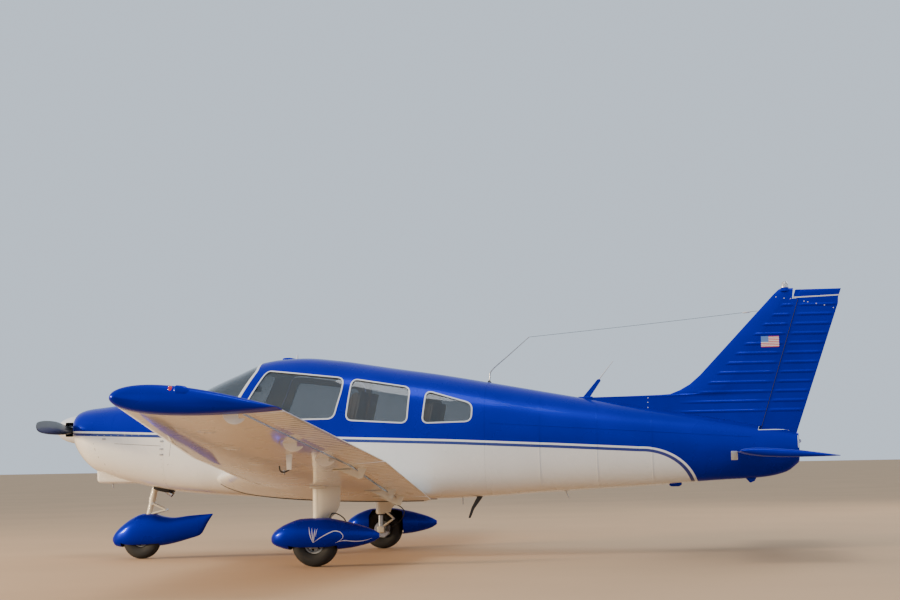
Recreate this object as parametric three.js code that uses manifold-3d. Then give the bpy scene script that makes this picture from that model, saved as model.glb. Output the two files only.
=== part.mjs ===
// A four-seat, single-engine, low-wing light aircraft on a fixed nose-wheel gear, standing parked.
// Units are millimetres. +X runs aft, +Y to the right wing, +Z up. Z = 0 is the ground.
// Stations and the s values below run aft from the tip of the spinner.
import * as THREE from 'three';
import { mergeVertices } from 'three/addons/utils/BufferGeometryUtils.js';
import Module from 'manifold-3d';

const wasm = await Module();
wasm.setup();

// Driving dimensions
const LENGTH = 7248;
const SPAN = 10668;
const FIN_TOP = 2328;
const THRUST_LINE = 1203;
const NOSE_WHEEL_STATION = 824;
const MAIN_WHEEL_STATION = 2813;
const MAIN_WHEEL_Y = 1525;
const NOSE_TYRE_RADIUS = 175;
const MAIN_TYRE_RADIUS = 190;
const WALL = 30;
const COWL_WALL = 18;
const SEAM = 0.6;
const DOOR_GAP = 9;
const CONTROL_GAP = 8;
const NOSE_GAP = 11;
const END_GAP = 18;

const FIREWALL_STATION = 1190;
const CABIN_END_STATION = 4100;
const TAIL_END_STATION = 6835;
const COWL_FRONT_STATION = 255;
const COWL_SEAM_HEIGHT = 1150;

// Moves a station to the model's X, whose zero is at mid-length
const MID = LENGTH / 2;

// Fuselage sections: station, bottom, top, half width, height of the widest place,
// power of the upper curve, power of the lower curve
const FUSELAGE = [
  [255, 1040, 1338, 290, 1190, 2.6, 2.4],
  [310, 950, 1372, 385, 1180, 2.6, 2.5],
  [380, 868, 1390, 435, 1160, 2.6, 2.7],
  [480, 800, 1401, 465, 1130, 2.6, 3.0],
  [650, 745, 1419, 485, 1100, 2.6, 3.2],
  [900, 680, 1443, 500, 1080, 2.6, 3.4],
  [1190, 622, 1472, 515, 1060, 2.6, 3.6],
  [1390, 600, 1503, 530, 1060, 2.7, 3.8],
  [1560, 586, 1583, 540, 1060, 2.8, 4.0],
  [1800, 568, 1686, 547, 1060, 2.9, 4.0],
  [2054, 552, 1783, 550, 1060, 3.0, 4.0],
  [2200, 543, 1804, 550, 1060, 3.0, 4.0],
  [2400, 530, 1812, 550, 1060, 3.0, 4.0],
  [2715, 518, 1784, 550, 1060, 3.0, 4.0],
  [3000, 515, 1739, 548, 1060, 3.0, 4.0],
  [3300, 515, 1690, 542, 1060, 2.9, 4.0],
  [3650, 517, 1635, 522, 1055, 2.8, 3.9],
  [4100, 532, 1553, 470, 1045, 2.6, 3.7],
  [4560, 560, 1466, 402, 1030, 2.4, 3.4],
  [5060, 584, 1372, 335, 1005, 2.3, 3.1],
  [5540, 607, 1288, 268, 980, 2.2, 2.9],
  [6100, 641, 1196, 192, 950, 2.2, 2.7],
  [6500, 660, 1118, 138, 925, 2.2, 2.6],
  [6720, 706, 1075, 108, 915, 2.2, 2.5],
  [6835, 790, 1050, 92, 915, 2.2, 2.4],
];

// Wing sections: y, leading edge station and height, trailing edge station and height, thickness
const WING = [
  [360, 1600, 712, 3607, 505, 232],
  [600, 1745, 740, 3607, 545, 236],
  [1050, 2007, 785, 3607, 617, 240],
  [2550, 2007, 972, 3607, 849, 240],
  [5200, 2346.8, 1258.4, 3448.9, 1178.1, 163.1],
  [5240, 2352, 1266, 3447, 1185, 174],
  [5290, 2360, 1273, 3444, 1191, 176],
  [5320, 2378, 1277, 3438, 1195, 126],
  [5334, 2410, 1279, 3420, 1198, 60],
];
const WING_ROOT_Y = 400;
const TIP_JOINT_Y = 5200;

// Where the hinged surfaces start and end along the span, and their hinge stations there
const AILERON = { inner: 2618, outer: 5155, hingeInner: 3335, hingeOuter: 3217.1 };
const FLAP = { inner: 640, outer: 2590, hingeInner: 3345, hingeOuter: 3345 };

const RIGHT = 1;
const LEFT = -1;

function paint(color, roughness = 0.35, metalness = 0.1) {
  return new THREE.MeshStandardMaterial({ color, roughness, metalness });
}

const BLUE = paint(0x0a2a9c);
const WHITE = paint(0xe4e6e4);
const CREAM = paint(0xd9cfae);
const BLACK = paint(0x151517, 0.6, 0);
const RUBBER = paint(0x1c1c1d, 0.9, 0);
const METAL = paint(0xa8abb0, 0.35, 0.9);
const GLASS = paint(0xb9cdd6, 0.05, 0);
const TRIM = paint(0x8f8a80, 0.8, 0);
const SEAT = paint(0x6a5f55, 0.9, 0);

const aircraft = new THREE.Group();

// Solids

function toSolid(geometry) {
  geometry.deleteAttribute('normal');
  geometry.deleteAttribute('uv');
  const merged = mergeVertices(geometry, 1e-3);
  const mesh = new wasm.Mesh({
    numProp: 3,
    vertProperties: new Float32Array(merged.attributes.position.array),
    triVerts: new Uint32Array(merged.index.array),
  });
  return new wasm.Manifold(mesh);
}

function toGeometry(solid) {
  const mesh = solid.getMesh();
  const geometry = new THREE.BufferGeometry();
  geometry.setAttribute('position', new THREE.BufferAttribute(new Float32Array(mesh.vertProperties), 3));
  geometry.setIndex(new THREE.BufferAttribute(new Uint32Array(mesh.triVerts), 1));
  geometry.computeVertexNormals();
  return geometry;
}

function addPiece(name, solid, material) {
  const mesh = new THREE.Mesh(toGeometry(solid), material);
  mesh.name = name;
  mesh.position.x = -MID;
  aircraft.add(mesh);
}

// Joins rings of points, all of one length, into a closed solid with flat ends
function loft(rings) {
  const count = rings[0].length;
  const positions = [];
  const index = [];
  rings.forEach((ring) => ring.forEach((p) => positions.push(p[0], p[1], p[2])));
  for (let r = 0; r + 1 < rings.length; r += 1) {
    for (let i = 0; i < count; i += 1) {
      const j = (i + 1) % count;
      const a = r * count + i;
      const b = r * count + j;
      index.push(a, b, a + count, b, b + count, a + count);
    }
  }
  [[0, true], [rings.length - 1, false]].forEach(([r, first]) => {
    const middle = [0, 1, 2].map((k) => rings[r].reduce((sum, p) => sum + p[k], 0) / count);
    const centre = positions.length / 3;
    positions.push(...middle);
    for (let i = 0; i < count; i += 1) {
      const a = r * count + i;
      const b = r * count + ((i + 1) % count);
      index.push(...(first ? [centre, b, a] : [centre, a, b]));
    }
  });
  return outward(positions, index);
}

// Turns the faces round where they point inwards
function outward(positions, index) {
  const corner = (k) => new THREE.Vector3().fromArray(positions, 3 * index[k]);
  let volume = 0;
  for (let k = 0; k < index.length; k += 3) {
    volume += corner(k).dot(corner(k + 1).cross(corner(k + 2)));
  }
  const geometry = new THREE.BufferGeometry();
  geometry.setAttribute('position', new THREE.Float32BufferAttribute(positions, 3));
  geometry.setIndex(volume < 0 ? index.slice().reverse() : index);
  return toSolid(geometry);
}

function box(s0, s1, y0, y1, z0, z1) {
  const geometry = new THREE.BoxGeometry(s1 - s0, y1 - y0, z1 - z0);
  geometry.translate((s0 + s1) / 2, (y0 + y1) / 2, (z0 + z1) / 2);
  return toSolid(geometry);
}

// A round bar between two points, its radius may change
function bar(from, to, radius, endRadius = radius, sides = 16) {
  const start = new THREE.Vector3(...from);
  const run = new THREE.Vector3(...to).sub(start);
  const geometry = new THREE.CylinderGeometry(endRadius, radius, run.length(), sides);
  geometry.translate(0, run.length() / 2, 0);
  const up = new THREE.Vector3(0, 1, 0);
  geometry.applyQuaternion(new THREE.Quaternion().setFromUnitVectors(up, run.normalize()));
  geometry.translate(...from);
  return toSolid(geometry);
}

// A turned shape about the given axis, from a closed profile of [radius, along] points
function turned(profile, centre, axis, sides = 32) {
  const points = profile.map(([r, along]) => new THREE.Vector2(r, along));
  const geometry = new THREE.LatheGeometry([...points, points[0].clone()], sides);
  const up = new THREE.Vector3(0, 1, 0);
  geometry.applyQuaternion(new THREE.Quaternion().setFromUnitVectors(up, new THREE.Vector3(...axis)));
  geometry.translate(...centre);
  geometry.deleteAttribute('normal');
  geometry.deleteAttribute('uv');
  const merged = mergeVertices(geometry, 1e-3);
  return outward([...merged.attributes.position.array], [...merged.index.array]);
}

// An outline in the side view, its corners rounded, as a shape
function roundedShape(corners, radius) {
  const shape = new THREE.Shape();
  corners.forEach((corner, i) => {
    const before = corners[(i + corners.length - 1) % corners.length];
    const after = corners[(i + 1) % corners.length];
    const enter = along(corner, before, radius);
    const leave = along(corner, after, radius);
    if (i === 0) shape.moveTo(...enter);
    else shape.lineTo(...enter);
    shape.quadraticCurveTo(...corner, ...leave);
  });
  shape.closePath();
  return shape;
}

function along(from, to, distance) {
  const run = Math.hypot(to[0] - from[0], to[1] - from[1]);
  const part = Math.min(distance / run, 0.45);
  return [from[0] + (to[0] - from[0]) * part, from[1] + (to[1] - from[1]) * part];
}

// A side-view outline run across the aircraft from y0 to y1
function acrossPrism(corners, y0, y1, radius = 0) {
  const shape = radius > 0
    ? roundedShape(corners, radius)
    : new THREE.Shape(corners.map((c) => new THREE.Vector2(...c)));
  const settings = { depth: y1 - y0, bevelEnabled: false, curveSegments: 3 };
  const geometry = new THREE.ExtrudeGeometry(shape, settings);
  geometry.rotateX(Math.PI / 2);
  geometry.translate(0, y1, 0);
  return toSolid(geometry);
}

// A plan-view outline run up from z0 to z1
function uprightPrism(corners, z0, z1) {
  const shape = new THREE.Shape(corners.map((c) => new THREE.Vector2(...c)));
  const geometry = new THREE.ExtrudeGeometry(shape, { depth: z1 - z0, bevelEnabled: false });
  geometry.translate(0, 0, z0);
  return toSolid(geometry);
}

// Grows or shrinks an outline about its middle
function resized(corners, change) {
  const middle = [0, 1].map((k) => corners.reduce((sum, c) => sum + c[k], 0) / corners.length);
  const reach = [0, 1].map((k) => Math.max(...corners.map((c) => Math.abs(c[k] - middle[k]))));
  return corners.map((c) => c.map((v, k) => middle[k] + (v - middle[k]) * (1 + change / reach[k])));
}

// Reads a table by straight lines between its rows, the first column being the key
function readTable(table, key, column) {
  const last = table.length - 1;
  const ahead = table.findIndex((row) => row[0] >= key);
  const i = Math.min(Math.max(ahead < 0 ? last : ahead, 1), last);
  const [a, b] = [table[i - 1], table[i]];
  return a[column] + ((b[column] - a[column]) * (key - a[0])) / (b[0] - a[0]);
}

// Stations of a table between two keys, both ends included
function tableKeys(table, from, to) {
  return [from, ...table.map((row) => row[0]).filter((k) => k > from + 1 && k < to - 1), to];
}

// Fuselage

const OUTER_COUNT = 32;
const INNER_COUNT = 20;

function fuselageRing(station, grow) {
  const value = (column) => readTable(FUSELAGE, station, column);
  const middle = value(4);
  const halfWidth = value(3) + grow;
  const count = grow < 0 ? INNER_COUNT : OUTER_COUNT;
  const ring = [];
  for (let i = 0; i < count; i += 1) {
    const turn = (2 * Math.PI * i) / count;
    const upper = Math.sin(turn) >= 0;
    const reach = upper ? value(2) + grow - middle : middle - value(1) + grow;
    const power = 2 / (upper ? value(5) : value(6));
    const y = Math.sign(Math.cos(turn)) * Math.abs(Math.cos(turn)) ** power * halfWidth;
    const z = middle + Math.sign(Math.sin(turn)) * Math.abs(Math.sin(turn)) ** power * reach;
    ring.push([station, y, z]);
  }
  return ring;
}

function fuselage(from, to, grow = 0) {
  return loft(tableKeys(FUSELAGE, from, to).map((station) => fuselageRing(station, grow)));
}

const wholeFuselage = fuselage(COWL_FRONT_STATION, TAIL_END_STATION, SEAM);

const COWL_AFT_STATION = FIREWALL_STATION - SEAM;
const STRUT_HOLE = { station: 952, radius: 75 };
const CHIN = { front: 452, back: 1010, halfWidth: 190, bottom: 702, top: 850 };

function cowling() {
  const outer = fuselage(COWL_FRONT_STATION, COWL_AFT_STATION);
  const inner = fuselage(COWL_FRONT_STATION + COWL_WALL, COWL_AFT_STATION + 1, -COWL_WALL);
  const inlets = [LEFT, RIGHT].map((side) => {
    const [near, far] = [150, 262].map((y) => side * y);
    return box(200, 330, Math.min(near, far), Math.max(near, far), 1168, 1262);
  });
  const shaft = bar([200, 0, THRUST_LINE], [330, 0, THRUST_LINE], 62, 62, 24);
  return outer.subtract(inner).subtract(shaft).subtract(inlets[0]).subtract(inlets[1]);
}

// The scoop under the nose, with its mouth in front
function chin() {
  const { front, back, halfWidth, bottom, top } = CHIN;
  const side = [
    [front, top], [front + 8, bottom + 14], [front + 40, bottom],
    [820, bottom - 6], [back, 672], [back, top],
  ];
  const mouth = box(front - 20, front + 90, 14 - halfWidth, halfWidth - 14, bottom + 24, top - 20);
  return acrossPrism(side, -halfWidth, halfWidth).subtract(mouth);
}

function addCowling() {
  const shell = cowling();
  const seam = COWL_SEAM_HEIGHT;
  const upper = shell.intersect(box(0, 2000, -900, 900, seam + SEAM / 2, 2000));
  const inside = fuselage(COWL_FRONT_STATION + COWL_WALL, COWL_AFT_STATION, -COWL_WALL);
  const { station: holeStation, radius: holeRadius } = STRUT_HOLE;
  const strutHole = bar([holeStation, 0, 500], [holeStation, 0, 900], holeRadius, holeRadius, 24);
  const pipe = bar([1105, -175, 640], [1175, -175, 585], 27, 27, 16);
  const lower = shell.intersect(box(0, 2000, -900, 900, 0, seam - SEAM / 2))
    .add(chin().subtract(inside))
    .subtract(strutHole)
    .add(pipe.subtract(inside));
  addPiece('cowl_upper', upper, BLUE);
  addPiece('cowl_lower', lower, WHITE);
}

const ENGINE_MOUNT_STATION = FIREWALL_STATION - 8;

function addEngine() {
  const crankcase = box(430, 1080, -170, 170, 1010, 1320);
  const cylinders = box(500, 1000, -395, 395, 1085, 1265);
  const sump = box(500, 1020, -150, 150, 900, 1040);
  const shaft = bar([262, 0, THRUST_LINE], [440, 0, THRUST_LINE], 48, 48, 20);
  const mounts = [[-130, 1080], [130, 1080], [-130, 1250], [130, 1250]]
    .map(([y, z]) => bar([1050, y, z], [ENGINE_MOUNT_STATION, y * 1.9, z], 12, 12, 8));
  const engine = [cylinders, sump, shaft, ...mounts].reduce((sum, piece) => sum.add(piece), crankcase);
  addPiece('engine', engine, METAL);
}

// Propeller: radius, chord, thickness and blade angle in degrees
const BLADE = [
  [40, 62, 44, 50],
  [130, 92, 34, 44],
  [240, 122, 24, 36],
  [420, 140, 17, 27],
  [640, 134, 13, 20],
  [820, 112, 9, 17],
  [905, 84, 7, 16],
  [940, 44, 5, 15],
];
const BLADE_STATION = 168;
const SPINNER_BACK = 243;
const SPINNER_RADIUS = 131;

function bladeRing([radius, chord, thickness, angle], side) {
  const count = 14;
  const turn = THREE.MathUtils.degToRad(angle);
  const ring = [];
  for (let i = 0; i < count; i += 1) {
    const t = (2 * Math.PI * i) / count;
    const across = (chord / 2) * Math.cos(t);
    const out = (thickness / 2) * Math.sin(t) * (Math.sin(t) < 0 ? 0.5 : 1);
    const s = BLADE_STATION + side * across * Math.sin(turn) - out * Math.cos(turn);
    const z = THRUST_LINE + across * Math.cos(turn) + side * out * Math.sin(turn);
    ring.push([s, side * radius, z]);
  }
  return ring;
}

function addPropeller() {
  const blade = (side) => loft(BLADE.map((row) => bladeRing(row, side)));
  const hub = bar([118, 0, THRUST_LINE], [218, 0, THRUST_LINE], 62, 62, 24);
  const flange = bar([210, 0, THRUST_LINE], [256, 0, THRUST_LINE], 44, 44, 20);
  addPiece('propeller', blade(LEFT).add(blade(RIGHT)).add(hub).add(flange), BLACK);

  const arc = (radius, back) => {
    const points = [];
    for (let i = 0; i <= 6; i += 1) {
      const part = (i / 6) ** 1.4;
      points.push([Math.max(radius * Math.sqrt(1 - (1 - part) ** 1.9), 0), part * back]);
    }
    return points;
  };
  const outer = [...arc(SPINNER_RADIUS, SPINNER_BACK), [0, SPINNER_BACK]];
  const inner = [...arc(SPINNER_RADIUS - 6, SPINNER_BACK + 2), [0, SPINNER_BACK + 2]];
  const shape = turned(outer, [0, 0, THRUST_LINE], [1, 0, 0], 20);
  const hollow = turned(inner, [8, 0, THRUST_LINE], [1, 0, 0], 20);
  const slots = box(118, 216, -200, 200, THRUST_LINE - 66, THRUST_LINE + 66);
  addPiece('spinner', shape.subtract(hollow).subtract(slots), WHITE);
}

// Cabin

// Window and door outlines in the side view, as station and height
const WINDSHIELD = [[1388, 1498], [1795, 1272], [2020, 1672], [2030, 1700], [2030, 1900], [1380, 1900]];
const FRONT_WINDOW = [[1880, 1246], [2135, 1684], [2222, 1676], [2838, 1604], [2832, 1500], [2760, 1246]];
const MIDDLE_WINDOW = [[2878, 1230], [2926, 1592], [3438, 1506], [3416, 1194]];
const REAR_WINDOW = [[3560, 1190], [3592, 1472], [3990, 1352], [3982, 1198]];
const DOOR = [[1995, 975], [1995, 1300], [2172, 1658], [2250, 1668], [2856, 1590], [2856, 975]];
const DOOR_WINDOW = [[2058, 1262], [2218, 1608], [2255, 1612], [2792, 1544], [2792, 1262]];
const BAGGAGE_DOOR = [[3600, 770], [3600, 1130], [4030, 1130], [4030, 770]];
const CENTRE_POST = 20;

// The roof seam falls aft along the window heads
const ROOF_SEAM = [[1100, 1858], [2100, 1716], [4200, 1418]];
const BELLY_SEAM = 660;
const BAGGAGE_SEAM = 3498;
const PILLAR = { front: 1780, back: 2330, bottom: 1300 };

function shell(outside, inside, from = FIREWALL_STATION, to = CABIN_END_STATION) {
  return fuselage(from, to, outside).subtract(fuselage(from - 1, to + 1, inside));
}

function roofZone() {
  return acrossPrism([...ROOF_SEAM, [4200, 2100], [1100, 2100]], -900, 900);
}

function addCabinShell() {
  const windshield = acrossPrism(WINDSHIELD, -900, 900);
  const wall = shell(0, -WALL).subtract(windshield);
  const post = shell(-4, -WALL)
    .intersect(acrossPrism(resized(WINDSHIELD, 12), -CENTRE_POST, CENTRE_POST));
  const belly = wall.intersect(box(0, 8000, -900, 900, 0, BELLY_SEAM - SEAM / 2));
  const upper = wall.intersect(box(0, 8000, -900, 900, BELLY_SEAM + SEAM / 2, 2500));
  const roof = upper.intersect(roofZone());
  const lowered = roofZone().translate([0, 0, -SEAM]);
  const sides = upper.subtract(lowered);
  addPiece('cabin_roof', roof.add(roofAntenna()), BLUE);
  addPiece('cabin_belly', belly.add(bellyAntenna()), WHITE);
  addCabinSides(sides);
  addCentrePost(post);
}

// The deck ahead of the windshield goes with the left and right sides, split at the centre line
function addCabinSides(sides) {
  const half = (side) => {
    const [low, high] = side === RIGHT ? [SEAM / 2, 900] : [-900, -SEAM / 2];
    return sides.intersect(box(0, 8000, low, high, 0, 2500));
  };
  const holes = (outlines, side) => outlines.map((outline) => {
    const [low, high] = side === RIGHT ? [200, 900] : [-900, -200];
    return acrossPrism(outline, low, high, 55);
  });
  const cut = (solid, tools) => tools.reduce((rest, tool) => rest.subtract(tool), solid);
  const left = cut(half(LEFT), holes([FRONT_WINDOW, MIDDLE_WINDOW, REAR_WINDOW], LEFT));
  const rightHoles = [resized(DOOR, DOOR_GAP), MIDDLE_WINDOW, REAR_WINDOW, resized(BAGGAGE_DOOR, DOOR_GAP)];
  const right = cut(half(RIGHT), holes(rightHoles, RIGHT));
  addPiece('cabin_side_left', left, BLUE);
  const split = (low, high) => right.intersect(box(low, high, 0, 900, 0, 2500));
  const front = split(0, BAGGAGE_SEAM - SEAM / 2);
  addPiece('cabin_side_right', front.subtract(pillarZone(SEAM)), BLUE);
  addPiece('windshield_pillar_right', front.intersect(pillarZone(0)), BLUE);
  addPiece('baggage_side_right', split(BAGGAGE_SEAM + SEAM / 2, 8000), BLUE);
}

// The right windshield pillar and the head of the door above it
function pillarZone(extra) {
  const { front, back, bottom } = PILLAR;
  return box(front - extra, back + extra, SEAM, 900, bottom - extra, 2500);
}

function addCentrePost(post) {
  const below = shell(SEAM, -WALL - SEAM).subtract(acrossPrism(WINDSHIELD, -900, 900));
  addPiece('windshield_post', post.subtract(below), WHITE);
}

const PANE_OUTSIDE = -9;
const PANE_INSIDE = -15;

function pane(outline, low, high, radius = 54) {
  const band = shell(PANE_OUTSIDE, PANE_INSIDE);
  return band.intersect(acrossPrism(resized(outline, -1), low, high, radius));
}

function addGlazing() {
  const front = resized(WINDSHIELD, -1);
  const screen = shell(PANE_OUTSIDE, PANE_INSIDE).intersect(acrossPrism(front, -900, 900));
  const half = (low, high) => screen.intersect(box(0, 4000, low, high, 0, 3000));
  addPiece('windshield_left', half(-900, -CENTRE_POST - 1), GLASS);
  addPiece('windshield_right', half(CENTRE_POST + 1, 900), GLASS);
  addPiece('window_left_front', pane(FRONT_WINDOW, -900, -200), GLASS);
  addPiece('window_left_middle', pane(MIDDLE_WINDOW, -900, -200), GLASS);
  addPiece('window_left_rear', pane(REAR_WINDOW, -900, -200), GLASS);
  addPiece('window_right_middle', pane(MIDDLE_WINDOW, 200, 900), GLASS);
  addPiece('window_right_rear', pane(REAR_WINDOW, 200, 900), GLASS);
}

function addDoors() {
  const wall = shell(0, -WALL);
  const door = wall.intersect(acrossPrism(DOOR, 200, 900, 50))
    .subtract(acrossPrism(DOOR_WINDOW, 200, 900, 50))
    .add(box(2720, 2800, 545, 562, 1120, 1142));
  addPiece('cabin_door', door, BLUE);
  addPiece('door_window', pane(DOOR_WINDOW, 200, 900, 49), GLASS);
  addPiece('baggage_door', wall.intersect(acrossPrism(BAGGAGE_DOOR, 200, 900, 40)), BLUE);
}

// Cross walls and floor fill the shell's inside, with a small gap all round
function inside(from, to) {
  return fuselage(from, to, -WALL - 6);
}

const FLOOR_TOP = 800;
const FLOOR_BOTTOM = 775;

function addCabinInside() {
  addPiece('firewall', inside(FIREWALL_STATION + 4, FIREWALL_STATION + 24), METAL);
  addPiece('rear_bulkhead', inside(CABIN_END_STATION - 30, CABIN_END_STATION - 10), TRIM);
  const floor = inside(FIREWALL_STATION + 25, CABIN_END_STATION - 31)
    .intersect(box(0, 8000, -900, 900, FLOOR_BOTTOM, FLOOR_TOP));
  addPiece('cabin_floor', floor, TRIM);
  addPiece('instrument_panel', instrumentPanel(), BLACK);
}

// The panel with its hood, two control wheels and the pedestal that stands on the floor
function instrumentPanel() {
  const face = inside(1915, 1950).intersect(box(0, 8000, -900, 900, 1090, 1400));
  const hood = inside(1760, 1950).intersect(box(0, 8000, -480, 480, 1385, 1400));
  const pedestal = box(1800, 1920, -80, 80, FLOOR_TOP + SEAM, 1100);
  const wheels = [-260, 260].map((y) => controlWheel(y));
  return face.add(hood).add(pedestal).add(wheels[0]).add(wheels[1]);
}

function controlWheel(y) {
  const shaft = bar([1940, y, 1190], [2075, y, 1190], 11, 11, 10);
  const wheel = box(2065, 2087, y - 130, y + 130, 1178, 1202);
  const horns = [-118, 118].map((dy) => box(2065, 2087, y + dy - 12, y + dy + 12, 1190, 1282));
  return shaft.add(wheel).add(horns[0]).add(horns[1]);
}

// Seat outline in the side view: cushion, then the raked back
const FRONT_SEAT = [
  [2330, 1010], [2330, 1060], [2800, 1040], [2905, 1500], [2990, 1500], [2890, 940], [2350, 960],
];
const REAR_SEAT = [
  [3060, 985], [3060, 1035], [3480, 1015], [3555, 1390], [3635, 1390], [3560, 920], [3080, 935],
];

function seat(outline, y0, y1, frameFrom, frameTo, frameTop) {
  const frame = box(frameFrom, frameTo, y0 + 60, y1 - 60, FLOOR_TOP + SEAM, frameTop);
  return acrossPrism(outline, y0, y1, 38).add(frame);
}

function addSeats() {
  addPiece('front_seat_left', seat(FRONT_SEAT, -445, -40, 2380, 2840, 975), SEAT);
  addPiece('front_seat_right', seat(FRONT_SEAT, 40, 445, 2380, 2840, 975), SEAT);
  addPiece('rear_seat', seat(REAR_SEAT, -415, 415, 3110, 3540, 950), SEAT);
}

// Tail

// Fin and dorsal fillet: height, leading edge station, half thickness
const FIN = [
  [1110, 4820, 16],
  [1380, 4840, 20],
  [1398, 4900, 24],
  [1404, 5560, 31],
  [1412, 5719, 34],
  [1446, 5808, 40],
  [1497, 5898, 43],
  [1575, 5989, 44],
  [1767, 6172, 41],
  [2150, 6536, 33],
  [2270, 6650, 29],
  [2328, 6712, 18],
];
// Hinge line of the rudder, two points of station and height
const RUDDER_HINGE = [[6519, 1102], [6871, 2220]];
const FIN_BOTTOM = 1112;
const RUDDER_BOTTOM = 1082;
const RUDDER_NOSE = 26;
// Rudder trailing edge: height, station
const RUDDER_EDGE = [[1052, 6821], [2183, 7217], [2240, 7221], [2315, 7248], [2400, 7248]];

function hingeStation(height) {
  const [[s0, z0], [s1, z1]] = RUDDER_HINGE;
  return s0 + ((s1 - s0) * (height - z0)) / (z1 - z0);
}

// The rudder's balance horn reaches ahead over the fin, which stays clear of it
const HORN = [[6828, 2240], [6848, FIN_TOP - 14], [6900, FIN_TOP - 14], [6900, 2240]];
const HORN_ROOM = [[6818, 2232], [6839, FIN_TOP + 60], [7000, FIN_TOP + 60], [7000, 2232]];
const HORN_HALF = 17;

// A fin section: round nose, then nearly straight to the hinge
function finRing([height, front, half], back) {
  const upper = [];
  const count = 8;
  for (let i = 0; i <= count; i += 1) {
    const part = 1 - Math.cos((Math.PI * i) / count / 2);
    const y = half * Math.sqrt(Math.min(1, part * 2.2)) * (1 - 0.3 * part);
    upper.push([front + (back - front) * part, y]);
  }
  const lower = upper.slice(1).map(([s, y]) => [s, -y]).reverse();
  return [...upper, ...lower].map(([s, y]) => [s, y, height]);
}

function addFin() {
  const blank = loft(FIN.map((row) => finRing(row, hingeStation(row[0]) + 60)));
  const [low, high] = [hingePoint(FIN_BOTTOM - 200), hingePoint(FIN_TOP + 200)];
  const cove = bar(low, high, RUDDER_NOSE + 34, RUDDER_NOSE + CONTROL_GAP, 24);
  const aft = acrossPrism([
    [low[0], low[2]], [high[0], high[2]], [8000, high[2]], [8000, low[2]],
  ], -400, 400);
  const capped = box(0, 8000, -400, 400, FIN_BOTTOM, FIN_TOP + 1);
  const fin = blank.intersect(capped).subtract(cove).subtract(aft)
    .subtract(acrossPrism(HORN_ROOM, -100, 100))
    .add(spineAntenna())
    .subtract(fuselage(4000, TAIL_END_STATION, SEAM))
    .add(bar([6758, 0, FIN_TOP - 30], [6758, 0, FIN_TOP + 8], 42, 34, 20));
  addPiece('fin', fin, BLUE);
  const dome = [[0, 0], [31, 0], [31, 27], [26, 42], [15, 52], [0, 56]];
  addPiece('beacon', turned(dome, [6758, 0, FIN_TOP + 8 + SEAM], [0, 0, 1], 20), GLASS);
}

function hingePoint(height) {
  return [hingeStation(height), 0, height];
}

function addRudder() {
  const heights = [RUDDER_BOTTOM, 1200, 1600, 2183, 2240, 2300, FIN_TOP - 14];
  const ring = (height) => {
    const front = hingeStation(height);
    const back = readTable(RUDDER_EDGE, height, 1);
    const half = height > 2290 ? 17 : RUDDER_NOSE;
    const nose = [];
    for (let i = -4; i <= 4; i += 1) {
      const turn = (Math.PI * i) / 8;
      nose.push([front - half * Math.cos(turn), half * Math.sin(turn), height]);
    }
    return [...nose, [back - 4, 4, height], [back, 0, height], [back - 4, -4, height]];
  };
  const horn = acrossPrism(HORN, -HORN_HALF, HORN_HALF);
  addPiece('rudder', loft(heights.map(ring)).add(horn), BLUE);
}

// Stabilator: one all-moving slab with a round leading edge and its tube through the tail cone
const STABILATOR = {
  rootY: 186, tipY: 1960, front: 6296, back: 7058, frontZ: 889, backZ: 839, thickness: 66,
  hinge: 6490, tabFront: 6936, tabInner: 190, tabOuter: 1400,
};

function stabilatorHeight(station) {
  const { front, back, frontZ, backZ } = STABILATOR;
  return frontZ + ((backZ - frontZ) * (station - front)) / (back - front);
}

function slabRing(y, front, back, thickness) {
  const count = 9;
  const edge = (sign) => {
    const points = [];
    for (let i = 0; i <= count; i += 1) {
      const part = (1 - Math.cos((Math.PI * i) / count)) / 2;
      const half = thickness * profileHalf(part) + 2.5 * part;
      const station = front + (back - front) * part;
      points.push([station, y, stabilatorHeight(station) + sign * half]);
    }
    return points;
  };
  return [...edge(1), ...edge(-1).slice(1).reverse()];
}

// Terms of the section's thickness: for the root of the share of the chord, then for its powers
const SECTION_TERMS = [0.2969, -0.126, -0.3516, 0.2843, -0.1036];

// Half thickness of a low-drag section for a thickness of one, from the nose to the tail
function profileHalf(part) {
  const [root, first, second, third, fourth] = SECTION_TERMS;
  const powers = first * part + second * part ** 2 + third * part ** 3 + fourth * part ** 4;
  return 5 * (root * Math.sqrt(part) + powers);
}

// The slab is hollow ahead of its tab, and a hole in the root rib opens the hollow
const STABILATOR_WALL = 4;
const ROOT_RIB = 40;
const STABILATOR_HOLLOW = [6345, 6420, 6560, 6720, 6880];

function stabilatorHollow(side) {
  const { rootY, tipY, front, back, thickness } = STABILATOR;
  const ring = (y) => {
    const edge = (sign) => STABILATOR_HOLLOW.map((station) => {
      const half = thickness * profileHalf((station - front) / (back - front)) - STABILATOR_WALL;
      return [station, side * y, stabilatorHeight(station) + sign * half];
    });
    return [...edge(1), ...edge(-1).reverse()];
  };
  const z = stabilatorHeight(6620);
  const hole = bar([6620, side * (rootY - 10), z], [6620, side * (rootY + ROOT_RIB + 10), z], 14, 14, 12);
  return loft([ring(rootY + ROOT_RIB), ring(tipY - 70)]).add(hole);
}

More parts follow.
